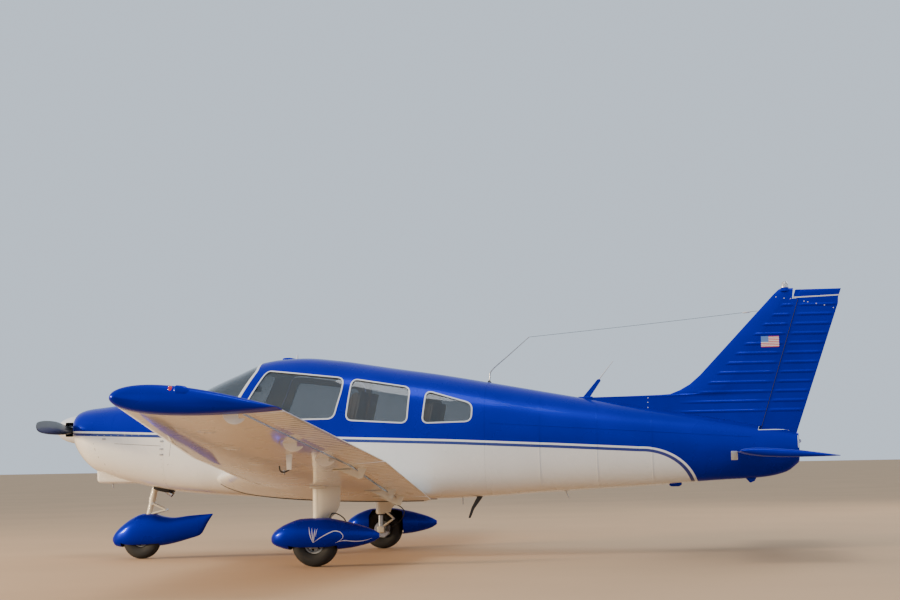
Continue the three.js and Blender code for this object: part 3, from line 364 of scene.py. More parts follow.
def resized(corners, change):
    """The outline grown or shrunk about its middle"""
    corners = np.array(corners, float)
    middle = corners.mean(0)
    reach = abs(corners - middle).max(0)
    return middle + (corners - middle) * (1 + change / reach)


def prism(outline, y0, y1, *materials):
    """A side-view outline run across from y0 to y1"""
    outline = np.asarray(outline, float)
    grid = np.array([[(s, y, z) for s, z in outline] for y in (y0, y1)])
    return loft("prism", grid, *materials)


def plan_prism(outline, z0, z1, *materials):
    """A top-view outline run up from z0 to z1"""
    grid = np.array([[(s, y, z) for s, y in outline] for z in (z0, z1)], float)
    return loft("prism", grid, *materials)


def bar(start, end, radii, material, sides=24):
    """A round bar between two points"""
    return rod([start, end], radii, material, sides)


def cross_bar(station, y0, y1, height, radius, material, sides=24):
    """A round bar straight across"""
    return bar((station, y0, height), (station, y1, height), radius, material, sides)


def rod(path, radii, material, sides=12):
    """A round tube through the points, with one radius or one per point"""
    path = np.array(path, float)
    radii = np.broadcast_to(np.asarray(radii, float), len(path))
    runs = unit(np.gradient(path, axis=0))
    helper = np.array((0, 1, 0)) if abs(runs[0][1]) < 0.9 else np.array((1, 0, 0))
    turns = np.linspace(0, 2 * math.pi, sides, endpoint=False)
    grid = []
    across = np.cross(helper, runs[0])
    for point, run, radius in zip(path, runs, radii):
        across = across - run * across.dot(run)
        across /= np.linalg.norm(across)
        other = np.cross(run, across)
        grid.append([point + radius * (math.cos(t) * across + math.sin(t) * other) for t in turns])
    return loft("rod", np.array(grid), material)


def curve(points, steps=8):
    """A smooth line through the points"""
    points = np.array(points, float)
    padded = np.vstack([2 * points[0] - points[1], points, 2 * points[-1] - points[-2]])
    line = []
    for a, b, c, d in zip(padded, padded[1:], padded[2:], padded[3:]):
        for t in np.linspace(0, 1, steps, endpoint=False):
            line.append(
                0.5 * (
                    2 * b + (c - a) * t + (2 * a - 5 * b + 4 * c - d) * t**2 + (3 * b - a - 3 * c + d) * t**3
                )
            )
    line.append(points[-1])
    return np.array(line)


def turned(profile, centre, axis, material, sides=48):
    """A turned solid from a closed profile of (radius, along), about an axis through centre"""
    axis = Vector(axis).normalized()
    spin = Vector((0, 0, 1)).rotation_difference(axis).to_matrix()
    count = len(profile)
    verts, faces = [], []
    for k in range(sides):
        turn = 2 * math.pi * k / sides
        for r, along in profile:
            verts.append(spin @ Vector((r * math.cos(turn), r * math.sin(turn), along)) + Vector(centre))
        a, b = k * count, (k + 1) % sides * count
        for i in range(count):
            j = (i + 1) % count
            faces.append((a + i, a + j, b + j, b + i))
    made = add_object("turned", to_frame(verts), faces, material)
    with editing(made.data) as work:
        bmesh.ops.remove_doubles(work, verts=work.verts, dist=1e-6)
        bmesh.ops.dissolve_degenerate(work, edges=work.edges, dist=1e-7)
    return made


def unit(rows):
    """The rows at a length of one"""
    return rows / np.linalg.norm(rows, axis=1)[:, None]


def ribbon(points, normals, profile, closed, *materials):
    """A strip along points of a surface. The profile is a closed outline of (across, up)."""
    points = np.asarray(points, float)
    if closed:
        runs = np.roll(points, -1, 0) - np.roll(points, 1, 0)
    else:
        runs = np.gradient(points, axis=0)
    across = unit(np.cross(normals, unit(runs)))
    grid = np.stack([points + a * across + u * normals for a, u in profile], 1)
    rings, count = grid.shape[:2]
    faces = ring_faces(rings, count, capped=not closed)
    if closed:
        last = (rings - 1) * count
        faces += [(last + i, last + (i + 1) % count, (i + 1) % count, i) for i in range(count)]
    return add_object("ribbon", to_frame(grid.reshape(-1, 3)), faces, *materials)


def domes(places, normals, radius, rise, *materials):
    """Low round heads, one at each place"""
    sides = 6
    verts, faces = [], []
    for place, normal in zip(np.asarray(places, float), np.asarray(normals, float)):
        helper = np.array((0, 0, 1)) if abs(normal[2]) < 0.8 else np.array((1, 0, 0))
        a = np.cross(normal, helper)
        a /= np.linalg.norm(a)
        b = np.cross(normal, a)
        first = len(verts)
        for share, up in ((1, -0.4), (0.7, rise * 0.7)):
            for k in range(sides):
                turn = 2 * math.pi * k / sides
                verts.append(place + radius * share * (math.cos(turn) * a + math.sin(turn) * b) + up * normal)
        verts.append(place + rise * normal)
        for k in range(sides):
            j = (k + 1) % sides
            faces.append((first + k, first + j, first + sides + j, first + sides + k))
            faces.append((first + sides + k, first + sides + j, first + 2 * sides))
        faces.append(tuple(first + k for k in range(sides)))
    return add_object("domes", to_frame(verts), faces, *materials)


# Surfaces


def smooth(table, keys, column):
    """Reads a table along a smooth curve that doesn't overshoot its rows"""
    x, y = table[:, 0], table[:, column]
    keys = np.clip(np.asarray(keys, float), x[0], x[-1])
    step = np.diff(x)
    rise = np.diff(y) / step
    slope = np.zeros(len(x))
    slope[0], slope[-1] = rise[0], rise[-1]
    before, after = rise[:-1], rise[1:]
    same = before * after > 0
    safe_before, safe_after = np.where(same, before, 1), np.where(same, after, 1)
    w1, w2 = 2 * step[1:] + step[:-1], step[1:] + 2 * step[:-1]
    slope[1:-1] = np.where(same, (w1 + w2) / (w1 / safe_before + w2 / safe_after), 0)
    i = np.clip(np.searchsorted(x, keys) - 1, 0, len(step) - 1)
    t = (keys - x[i]) / step[i]
    return (
        y[i] * (1 + 2 * t) * (1 - t) ** 2 + slope[i] * step[i] * t * (1 - t) ** 2
        + y[i + 1] * t**2 * (3 - 2 * t) + slope[i + 1] * step[i] * t**2 * (t - 1)
    )


def linear(table, keys, column):
    """Reads a table along straight lines"""
    return np.interp(keys, table[:, 0], table[:, column])


def even_turns(count):
    """Angles that space points evenly round a cabin section"""
    dense = np.linspace(-math.pi / 2, math.pi / 2, 2000)
    y = abs(np.cos(dense)) ** 0.62
    z = np.sign(np.sin(dense)) * abs(np.sin(dense)) ** 0.62
    length = np.concatenate([[0], np.cumsum(np.hypot(np.diff(y), np.diff(z)))])
    right = np.interp(np.linspace(0, length[-1], count // 2 + 1), length, dense)
    return np.concatenate([right, math.pi - right[1:-1][::-1]])


def section(station, upper):
    """Half width, middle height, and the reach and power of the section's upper or lower part"""
    low, high, half, mid, up_power, low_power = (smooth(FUSELAGE, station, k) for k in range(1, 7))
    return half, mid, np.where(upper, high - mid, mid - low), np.where(upper, up_power, low_power)


def fuselage_grid(stations, count=96, grow=0.0):
    """Rings of the fuselage skin, moved out by grow"""
    stations = np.asarray(stations, float)[:, None]
    grow = np.broadcast_to(np.asarray(grow, float), len(stations))[:, None]
    turns = even_turns(count)
    cos, sin = np.cos(turns)[None], np.sin(turns)[None]
    half, mid, reach, power = section(stations, sin >= 0)
    y = np.sign(cos) * abs(cos) ** (2 / power) * (half + grow)
    z = mid + np.sign(sin) * abs(sin) ** (2 / power) * (reach + grow)
    return np.stack([stations + 0 * y, y, z], -1)


def steps_between(low, high, step):
    """Even places from low to high, about a step apart"""
    return np.linspace(low, high, max(2, int(round(abs(high - low) / step)) + 1))


def fuselage(name, low, high, grow, *materials, step=25, count=96):
    """A length of the fuselage as a solid"""
    return loft(name, fuselage_grid(steps_between(low, high, step), count, grow), *materials)


def hull_value(points):
    """Below zero inside the fuselage and above zero outside"""
    s, y, z = points[:, 0], points[:, 1], points[:, 2]
    half, mid, reach, power = section(s, z >= smooth(FUSELAGE, s, 4))
    return abs(y / half) ** power + abs((z - mid) / reach) ** power - 1


def hull_normals(points):
    """Outward directions of the fuselage skin at the points"""
    points = np.asarray(points, float)
    slope = [hull_value(points + step) - hull_value(points - step) for step in np.eye(3)]
    return unit(np.stack(slope, 1))


def on_hull(line, side):
    """Points of a side-view line on the fuselage skin"""
    line = np.asarray(line, float)
    s, z = line[:, 0], line[:, 1]
    half, mid, reach, power = section(s, z >= smooth(FUSELAGE, s, 4))
    share = np.clip(1 - np.minimum(abs((z - mid) / reach), 1) ** power, 0, 1)
    return np.stack([s, side * half * share ** (1 / power), z], 1)


def hull_ribbon(points, profile, material, closed=False):
    """A strip along points of the fuselage skin"""
    return ribbon(points, hull_normals(points), profile, closed, material)


def skin_reach(place, side):
    """How far out the skin stands at a station and height"""
    return float(abs(on_hull([place], side)[0, 1]))


def evenly(points, step, closed=False):
    """The same line with its points a step apart"""
    points = np.asarray(points, float)
    if closed:
        points = np.vstack([points, points[:1]])
    length = np.concatenate([[0], np.cumsum(np.linalg.norm(np.diff(points, axis=0), axis=1))])
    count = max(3, int(round(length[-1] / step)) + 1)
    at = np.linspace(0, length[-1], count)
    line = np.stack([np.interp(at, length, points[:, k]) for k in range(points.shape[1])], 1)
    return line[:-1] if closed else line


def profile_half(part):
    """Half thickness of the wing's section for a thickness of one"""
    part = np.clip(part, 0, 1)
    return 5 * (
        0.2969 * np.sqrt(part) - 0.126 * part - 0.3516 * part**2 + 0.2843 * part**3 - 0.1036 * part**4
    )


def chord_parts(count):
    """Places along a chord from 0 to 1, closer together at its ends"""
    return (1 - np.cos(np.linspace(0, math.pi, count))) / 2


def wing_row(y):
    """Front, front height, back, back height and thickness of the wing's section"""
    return [linear(WING, abs(y), k) for k in range(1, 6)]


def wing_ring(y, side, count=40, table_row=None):
    """The outline of the wing's section, fuller above its chord than below"""
    front, front_z, back, back_z, thickness = table_row or wing_row(y)
    turn = math.atan2(back_z - front_z, back - front)
    part = chord_parts(count)
    edges = []
    for sign, share in ((1, 1.12), (-1, 0.88)):
        half = thickness * profile_half(part) * share + TRAILING_HALF * part
        s = front + (back - front) * part - sign * half * math.sin(turn)
        z = front_z + (back_z - front_z) * part + sign * half * math.cos(turn)
        edges.append(np.stack([s, np.full(count, side * y), z], 1))
    return np.vstack([edges[0], edges[1][1:][::-1]])


def wing_mid(y, station):
    """Height of the middle between the wing's two skins"""
    front, front_z, back, back_z, thickness = wing_row(y)
    part = (station - front) / (back - front)
    return front_z + (back_z - front_z) * part + thickness * profile_half(part) * 0.12


def wing_half(y, station):
    """Half the distance between the wing's two skins"""
    front, _, back, _, thickness = wing_row(y)
    part = (station - front) / (back - front)
    return thickness * profile_half(part) + TRAILING_HALF * part


def wing_lower(y, station):
    return wing_mid(y, station) - wing_half(y, station)


def wing_upper(y, station):
    return wing_mid(y, station) + wing_half(y, station)


def hinge_station(height):
    """Station of the rudder's hinge line"""
    (s0, z0), (s1, z1) = RUDDER_HINGE
    return s0 + (s1 - s0) * (height - z0) / (z1 - z0)


def hinge_point(height):
    return (hinge_station(height), 0, height)


def stabilator_height(station):
    """Height of the tailplane's chord"""
    s = STABILATOR
    return s["front_z"] + (s["back_z"] - s["front_z"]) * (station - s["front"]) / (s["back"] - s["front"])


# Materials


class Shader:
    """A material's nodes, built from short calls. Places are the piece's own, in the frame at rest."""

    def __init__(self, name, **sockets):
        self.material = bpy.data.materials.new(name)
        self.material.use_nodes = True
        self.tree = self.material.node_tree
        self.base = self.tree.nodes["Principled BSDF"]
        self.set(**sockets)
        self.place = self.tree.nodes.new("ShaderNodeTexCoord").outputs["Object"]

    def set(self, **sockets):
        for key, value in sockets.items():
            self.plug(self.base.inputs[key.replace("_", " ")], value)

    def plug(self, socket, value):
        if isinstance(value, bpy.types.NodeSocket):
            self.tree.links.new(value, socket)
        elif value is not None:
            if socket.type == "RGBA" and len(value) == 3:
                value = (*value, 1)
            socket.default_value = value

    def node(self, kind, output=0, values=(), **settings):
        made = self.tree.nodes.new("ShaderNode" + kind)
        for key, value in settings.items():
            setattr(made, key, value)
        items = values.items() if isinstance(values, dict) else enumerate(values)
        for key, value in items:
            self.plug(made.inputs[key], value)
        return made.outputs[output]

    def math(self, operation, *values):
        return self.node("Math", values=values, operation=operation)

    def axis(self, name):
        return self.node("SeparateXYZ", name, [self.place])

    def noise(self, scale, detail=3, stretch=(1, 1, 1), rough=0.5):
        place = self.node("Mapping", 0, {"Vector": self.place, "Scale": stretch})
        return self.node(
            "TexNoise", 0, {"Vector": place, "Scale": scale, "Detail": detail, "Roughness": rough}
        )

    def ramp(self, value, low, high, to_low=0.0, to_high=1.0):
        return self.node("MapRange", 0, {
            "Value": value, "From Min": low, "From Max": high, "To Min": to_low, "To Max": to_high})

    def mix(self, share, a, b):
        made = self.tree.nodes.new("ShaderNodeMix")
        made.data_type = "RGBA"
        for socket, value in zip((made.inputs[0], made.inputs[6], made.inputs[7]), (share, a, b)):
            self.plug(socket, value)
        return made.outputs[2]

    def bump(self, height, distance, strength=1.0):
        before = self.base.inputs["Normal"].links
        values = {"Height": height, "Distance": distance, "Strength": strength}
        if before:
            values["Normal"] = before[0].from_socket
        self.set(Normal=self.node("Bump", 0, values))


def shade(colour, share):
    return tuple(min(1.0, c * share) for c in colour)


BLUE = (0.0004, 0.005, 0.34)
BLUE_SHEEN = (0.10, 0.30, 1.0, 1)
WHITE = (0.80, 0.79, 0.76)
CREAM = (0.76, 0.70, 0.56)
STRIPE_BLUE = (0.004, 0.02, 0.20)


def gloss(shader, rough, coat=0.5, wave=0.0006):
    """Sprayed gloss: slight orange peel, faint dust in the roughness"""
    dust = shader.noise(3.0, 6)
    shader.set(Roughness=shader.ramp(dust, 0.3, 0.75, rough, rough + 0.12))
    shader.set(Coat_Weight=coat, Coat_Roughness=0.06)
    shader.bump(shader.noise(260.0, 2), wave, 0.08)
    shader.bump(shader.noise(2.2, 2), 0.01, 0.04)


def mottled(shader, colour, spread=0.12, scale=2.5):
    return shader.mix(
        shader.ramp(shader.noise(scale, 4), 0.3, 0.7), shade(colour, 1 - spread), shade(colour, 1 + spread)
    )


def plain_paint(name, colour, rough=0.22, coat=0.6, spread=0.1):
    shader = Shader(name)
    shader.set(Base_Color=mottled(shader, colour, spread))
    gloss(shader, rough, coat)
    return shader.material


def pearl_blue(name):
    """Metallic blue: its sheen is blue too, under a thin clear coat"""
    shader = Shader(name, Metallic=0.35, Specular_Tint=BLUE_SHEEN, Specular_IOR_Level=0.25)
    shader.set(Base_Color=mottled(shader, BLUE, 0.1))
    gloss(shader, 0.24, 0.12)
    return shader.material


# The stripe's upper edge: station and height, then a quarter of an ellipse down to the belly
STRIPE = [(255, 1184), (368, 1180), (1032, 1154), (2856, 1078), (3804, 1040), (4770, 989), (5452, 948)]
STRIPE_END = 5452
STRIPE_DROP, STRIPE_RUN = 398, 501.5
WHITE_LINE, BLUE_LINE = 18, 26


def livery():
    """Blue above, a white and a blue line, then white below, ending in a round sweep at the tail"""
    shader = Shader("livery_paint")
    x, z = shader.axis("X"), shader.axis("Z")
    edge = None
    for (s0, z0), (s1, z1) in zip(STRIPE, STRIPE[1:]):
        part = shader.ramp(x, (s0 - MID_STATION) * MM, (s1 - MID_STATION) * MM, 0.0, (z1 - z0) * MM)
        edge = part if edge is None else shader.math("ADD", edge, part)
    above = shader.math("SUBTRACT", z, shader.math("ADD", edge, (STRIPE[0][1] - STRIPE_DROP) * MM))
    above = shader.math("MAXIMUM", above, 0.0)
    aft = shader.math("MAXIMUM", shader.math("SUBTRACT", x, (STRIPE_END - MID_STATION) * MM), 0.0)
    reach = shader.math("SQRT", shader.math("ADD",
        shader.math("POWER", shader.math("DIVIDE", above, STRIPE_DROP * MM), 2.0),
        shader.math("POWER", shader.math("DIVIDE", aft, STRIPE_RUN * MM), 2.0)))
    distance = shader.math("MULTIPLY", shader.math("SUBTRACT", reach, 1.0), STRIPE_DROP * MM)
    soft = 0.0008
    over = shader.ramp(distance, -soft, soft)
    line = shader.ramp(distance, -WHITE_LINE * MM - soft, -WHITE_LINE * MM + soft)
    end = -(WHITE_LINE + BLUE_LINE) * MM
    under = shader.ramp(distance, end - soft, end + soft)
    white = mottled(shader, WHITE, 0.03)
    # Darker and browner towards the bottom of the belly, in streaks along its length
    belly_darkening = shader.math(
        "MULTIPLY", shader.ramp(z, 0.66, 0.52), shader.ramp(shader.noise(2.0, 5, (0.25, 1, 1)), 0.4, 0.75)
    )
    white = shader.mix(shader.math("MULTIPLY", belly_darkening, 0.35), white, (0.42, 0.38, 0.32))
    colour = shader.mix(under, white, STRIPE_BLUE)
    colour = shader.mix(line, colour, (0.82, 0.83, 0.84))
    colour = shader.mix(over, colour, mottled(shader, BLUE, 0.1))
    shader.set(Base_Color=colour)
    sheen = shader.mix(over, (1.0, 1.0, 1.0), BLUE_SHEEN[:3])
    shader.set(Specular_Tint=sheen, Metallic=shader.math("MULTIPLY", over, 0.35))
    shader.set(Specular_IOR_Level=shader.ramp(over, 0.0, 1.0, 0.5, 0.25))
    gloss(shader, 0.22, shader.ramp(over, 0.0, 1.0, 0.9, 0.12))
    return shader.material


def glazing():
    """Tinted acrylic: what lies behind shows through, less of it at a slant, where the colour lightens as a
    painted reflection of the surroundings
    """
    shader = Shader("tinted_acrylic", Roughness=0.03, IOR=1.49)
    slant = shader.node("LayerWeight", "Facing", {"Blend": 0.35})
    # At a slant the base colour turns lighter: a painted reflection of the sky
    painted_sky_reflection = shader.ramp(slant, 0.45, 0.9)
    shader.set(Base_Color=shader.mix(painted_sky_reflection, (0.035, 0.05, 0.07), (0.10, 0.13, 0.17)))
    shader.set(Alpha=shader.ramp(slant, 0.0, 0.95, 0.42, 0.88), Coat_Weight=1.0, Coat_Roughness=0.02)
    shader.bump(shader.noise(1.6, 2), 0.004, 0.05)
    return shader.material


def rubber():
    shader = Shader("tyre_rubber")
    worn = shader.noise(9.0, 5)
    shader.set(
        Base_Color=shader.mix(shader.ramp(worn, 0.35, 0.7), (0.006, 0.006, 0.0065), (0.024, 0.022, 0.02))
    )
    shader.set(Roughness=shader.ramp(worn, 0.3, 0.8, 0.62, 0.9))
    shader.bump(shader.noise(420.0, 4), 0.0008, 0.5)
    return shader.material


def metal(name, colour, rough, brushed=(1, 1, 1)):
    shader = Shader(name, Metallic=1.0)
    grain = shader.noise(60.0, 4, brushed)
    shader.set(Base_Color=shader.mix(shader.ramp(grain, 0.3, 0.7), shade(colour, 0.8), colour))
    shader.set(Roughness=shader.ramp(grain, 0.3, 0.7, rough, rough + 0.2))
    shader.bump(grain, 0.0004, 0.25)
    return shader.material


def cloth(name, colour, weave=900.0):
    """Woven cloth: two sets of threads across each other, and a soft sheen"""
    shader = Shader(name, Roughness=0.9, Sheen_Weight=0.5, Sheen_Roughness=0.5)
    x, y, z = (shader.axis(k) for k in "XYZ")
    warp = shader.math("SINE", shader.math("MULTIPLY", shader.math("ADD", x, z), weave))
    weft = shader.math(
        "SINE", shader.math("MULTIPLY", shader.math("SUBTRACT", y, shader.math("MULTIPLY", z, 0.3)), weave)
    )
    threads = shader.math("MULTIPLY", warp, weft)
    shader.set(
        Base_Color=shader.mix(shader.ramp(threads, -1.0, 1.0), shade(colour, 0.72), shade(colour, 1.12))
    )
    shader.bump(threads, 0.0008, 0.5)
    shader.bump(shader.noise(14.0, 4), 0.004, 0.3)
    return shader.material


def carpet(name, colour):
    shader = Shader(name, Roughness=0.95, Sheen_Weight=0.3)
    pile = shader.noise(700.0, 3)
    shader.set(Base_Color=shader.mix(shader.ramp(pile, 0.3, 0.7), shade(colour, 0.6), shade(colour, 1.2)))
    shader.bump(pile, 0.002, 0.7)
    return shader.material


def plastic(name, colour, rough=0.5, grain=380.0):
    shader = Shader(name)
    leather = shader.node("TexVoronoi", 0, {"Vector": shader.place, "Scale": grain})
    shader.set(Base_Color=mottled(shader, colour, 0.12, 6.0))
    shader.set(Roughness=shader.ramp(shader.noise(5.0, 4), 0.3, 0.7, rough, rough + 0.15))
    shader.bump(leather, 0.0005, 0.3)
    return shader.material


def lamp_glass(name, colour, glow=0.0):
    shader = Shader(
        name, Base_Color=colour, Roughness=0.08, Transmission_Weight=0.6, IOR=1.45, Coat_Weight=1.0
    )
    ribs = shader.math("SINE", shader.math("MULTIPLY", shader.axis("Z"), 900.0))
    shader.bump(ribs, 0.0006, 0.4)
    if glow:
        shader.set(Emission_Color=colour, Emission_Strength=glow)
    return shader.material


LIVERY = livery()
COVER_BLUE = pearl_blue("cover_blue")
BLUE_PAINT = pearl_blue("blue_paint")
WHITE_PAINT = plain_paint("white_paint", WHITE, 0.24, 1.0, 0.03)
CREAM_PAINT = plain_paint("cream_paint", CREAM, 0.3, 0.6, 0.06)
TRIM_WHITE = plain_paint("trim_white", (0.62, 0.64, 0.68), 0.3, 0.4, 0.04)
BLACK_PAINT = plain_paint("propeller_black", (0.012, 0.012, 0.014), 0.38, 0.3, 0.2)
# Near-black rubber for seals and seams, also used as painted shadow in the rudder's gap
SEAL_AND_GAP_SHADE = plastic("rubber_seal_and_gap_shade", (0.02, 0.019, 0.018), 0.6)
GLASS = glazing()
RUBBER = rubber()
STEEL = metal("steel", (0.52, 0.53, 0.55), 0.25)
ALUMINIUM = metal("aluminium", (0.72, 0.73, 0.75), 0.3, (1, 12, 1))
WHEEL_PAINT = plain_paint("wheel_grey", (0.30, 0.31, 0.32), 0.4, 0.3, 0.1)
CAST = metal("engine_cast", (0.20, 0.20, 0.21), 0.55)
# Near black: the real black of dial faces and display windows, and painted shade inside hollows and on the
# walls of holes and slots cut with it
BLACK_AND_SHADE = plastic("black_and_painted_shade", (0.008, 0.008, 0.009), 0.85)
LINING = cloth("cabin_lining", (0.86, 0.78, 0.62), 1400.0)
CARPET = carpet("cabin_carpet", (0.16, 0.15, 0.15))
SEAT_CLOTH = cloth("seat_cloth", (0.84, 0.70, 0.50))
SEAT_VINYL = plastic("seat_vinyl", (0.78, 0.64, 0.44), 0.45)
PANEL_BLACK = plastic("panel_black", (0.022, 0.022, 0.024), 0.55)
HOSE = plastic("hose_black", (0.015, 0.015, 0.016), 0.5)
GRIP = carpet("grip_strip", (0.03, 0.03, 0.032))
RED_LAMP = lamp_glass("red_lamp", (0.75, 0.01, 0.02), 0.4)
GREEN_LAMP = lamp_glass("green_lamp", (0.01, 0.55, 0.12), 0.4)
CLEAR_LAMP = lamp_glass("clear_lamp", (0.85, 0.87, 0.88))

# Fuselage

SPLIT = 1.0
COWL_SEAM = 1150
# Distance from a skin's edge, and how far it is drawn in there
EDGE_ROUNDING = ((0, 16), (1.5, 9), (5, 4), (11, 1), (20, 0))
STRUT_HOLE, STRUT_HOLE_RADIUS = 952, 75
INLET_Y, INLET_HALF, INLET_LOW, INLET_TOP, INLET_ROUNDING = 206, 58, 1166, 1264, 26
SHAFT_HOLE_RADIUS = 66
# The intake below the nose: station, bottom, top, half width
CHIN = np.array([
    (452, 730, 850, 168),
    (456, 716, 850, 180),
    (466, 707, 850, 187),
    (492, 702, 850, 190),
    (820, 696, 850, 190),
    (1010, 674, 850, 186),
], float)
CHIN_STATIONS = (452, 453, 456, 460, 466, 478, 492, 560, 640, 740, 820, 900, 960, 1010)
CHIN_MOUTH = ((430, -172, 728), (560, 172, 832))
# Farther out than the fuselage reaches
BIG = 900
POD_POWER = 2.5


def pod_section(table, stations):
    """Half width, middle height and half height of a streamlined cover"""
    bottom, top, half = (smooth(table, stations, k) for k in (1, 2, 3))
    return half, (top + bottom) / 2, (top - bottom) / 2


def pod_grid(table, y, stations, shrink=0.0, power=POD_POWER, count=48):
    """Rings of a streamlined cover about its own middle line"""
    stations = np.asarray(stations, float)[:, None]
    half, mid, reach = pod_section(table, stations)
    turns = np.linspace(0, 2 * math.pi, count, endpoint=False)[None]
    cos, sin = np.cos(turns), np.sin(turns)
    across = np.sign(cos) * abs(cos) ** (2 / power) * np.maximum(half - shrink, 2)
    up = np.sign(sin) * abs(sin) ** (2 / power) * np.maximum(reach - shrink, 2)
    return np.stack([np.broadcast_to(stations, across.shape), y + across, mid + up], -1)


def pod(rows, y, steps, material, **form):
    """A small streamlined solid from rows of station, bottom, top and half width"""
    table = np.array(rows, float)
    stations = np.linspace(table[0, 0], table[-1, 0], steps)
    return loft("pod", pod_grid(table, y, stations, **form), material)


def ends_rounded(low, high, step, front=True, back=False):
    """Stations of a skin and how far it is drawn in at each, with one or both ends rounded"""
    stations = list(steps_between(low + (25 if front else 0), high - (25 if back else 0), step))
    grow = [0.0] * len(stations)
    if front:
        stations = [low + d for d, _ in EDGE_ROUNDING] + stations
        grow = [-g for _, g in EDGE_ROUNDING] + grow
    if back:
        stations += [high - d for d, _ in reversed(EDGE_ROUNDING)]
        grow += [-g for _, g in reversed(EDGE_ROUNDING)]
    return np.array(stations), np.array(grow)


def add_cowling():
    """The upper and lower cowl with their inlets, the chin's mouth and the strut's opening"""
    stations, grow = ends_rounded(COWL_FRONT, FIREWALL - SPLIT, 20)
    skin = loft("cowl", fuselage_grid(stations, 96, grow), LIVERY)
    # The cowl's inside and the walls of its openings are painted near black as shade
    hollow = fuselage("hollow", COWL_FRONT + COWL_WALL, FIREWALL + 1, -COWL_WALL, BLACK_AND_SHADE, step=60, count=64)
    holes = [bar((200, 0, THRUST_LINE), (330, 0, THRUST_LINE), SHAFT_HOLE_RADIUS, BLACK_AND_SHADE, sides=48)]
    for side, _ in SIDES:
        low, high = side * INLET_Y - INLET_HALF, side * INLET_Y + INLET_HALF
        holes.append(soft_box((200, low, INLET_LOW), (330, high, INLET_TOP), INLET_ROUNDING, BLACK_AND_SHADE, steps=5))
    cut(skin, hollow, *holes)
    lower = copy_object(skin, "cowl_lower_skin")
    upper = cross(skin, box((0, -BIG, COWL_SEAM + SPLIT), (2000, BIG, 2000), LIVERY))
    cross(lower, box((0, -BIG, 0), (2000, BIG, COWL_SEAM - SPLIT), LIVERY))
    chin = loft("chin", pod_grid(CHIN, 0, CHIN_STATIONS, power=7, count=72), LIVERY)
    # The walls of the chin's mouth are painted near black as shade
    mouth = soft_box(*CHIN_MOUTH, 14, BLACK_AND_SHADE)
    hole = bar((STRUT_HOLE, 0, 500), (STRUT_HOLE, 0, 900), STRUT_HOLE_RADIUS, BLACK_AND_SHADE, sides=48)
    join(lower, cut(chin, mouth))
    cut(lower, hole)
    finish_piece(upper, nodes=["cowl_upper"], name="cowl_upper_skin")
    finish_piece(lower, nodes=["cowl_lower"])


def outside(side):
    """A span that starts inside the cabin and ends clear of the fuselage"""
    return between(side, 200, BIG)


def window_holes(side):
    outlines = [MIDDLE_WINDOW, REAR_WINDOW] + ([FRONT_WINDOW] if side == LEFT else [])
    return [prism(rounded(o, WINDOW_ROUNDING), *outside(side), TRIM_WHITE) for o in outlines]


def cabin_shell(material, low=FIREWALL, high=CABIN_END, grow=0, step=25):
    """A length of the cabin's hollow skin"""
    skin = fuselage("cabin", low, high, grow, material, step=step)
    return cut(skin, fuselage("hollow", low - 1, high + 1, -WALL, LINING, step=60, count=64))


CABIN_NODES = [
    "cabin_roof", "cabin_side_left", "cabin_side_right", "windshield_pillar_right", "baggage_side_right",
    "cabin_belly",
]


def add_cabin():
    """The cabin's skin in one piece, with its windows and door openings cut"""
    skin = cabin_shell(LIVERY)
    tools = [prism(WINDSHIELD, -BIG, BIG, TRIM_WHITE), *window_holes(LEFT), *window_holes(RIGHT)]
    tools.append(prism(rounded(resized(DOOR, DOOR_GAP), 54), *outside(RIGHT), BLUE_PAINT))
    tools.append(prism(rounded(resized(BAGGAGE_DOOR, DOOR_GAP), 44), *outside(RIGHT), BLUE_PAINT))
    cut(skin, *tools)
    finish_piece(skin, nodes=CABIN_NODES, name="cabin_skin")


def add_doors():
    """The cabin door and the baggage door, cut from the same skin"""
    door = cross(cabin_shell(LIVERY, 1950, 2900), prism(rounded(DOOR, 50), *outside(RIGHT), BLUE_PAINT))
    cut(door, prism(rounded(DOOR_WINDOW, DOOR_WINDOW_ROUNDING), *outside(RIGHT), TRIM_WHITE))
    finish_piece(door, "cabin_door", ["cabin_door"], name="cabin_door_skin")
    area = prism(rounded(BAGGAGE_DOOR, 40), *outside(RIGHT), BLUE_PAINT)
    hatch = cross(cabin_shell(LIVERY, 3560, 4070), area)
    finish_piece(hatch, "baggage_door", ["baggage_door"], name="baggage_door_skin")


PANE_OUTSIDE, PANE_INSIDE = -9, -15


def pane(name, outline, side, rounding, node, body="airframe"):
    """Glass that follows the skin, a little inside it"""
    outline = np.array(outline, float)
    low, high = outline[:, 0].min() - 20, outline[:, 0].max() + 20
    glass = fuselage(name, low, high, PANE_OUTSIDE, GLASS, step=20)
    cut(glass, fuselage("hollow", low - 1, high + 1, PANE_INSIDE, GLASS, step=20))
    cross(glass, prism(rounded(resized(outline, -1), rounding), *outside(side), GLASS))
    finish_piece(glass, body, [node], sharp=50)


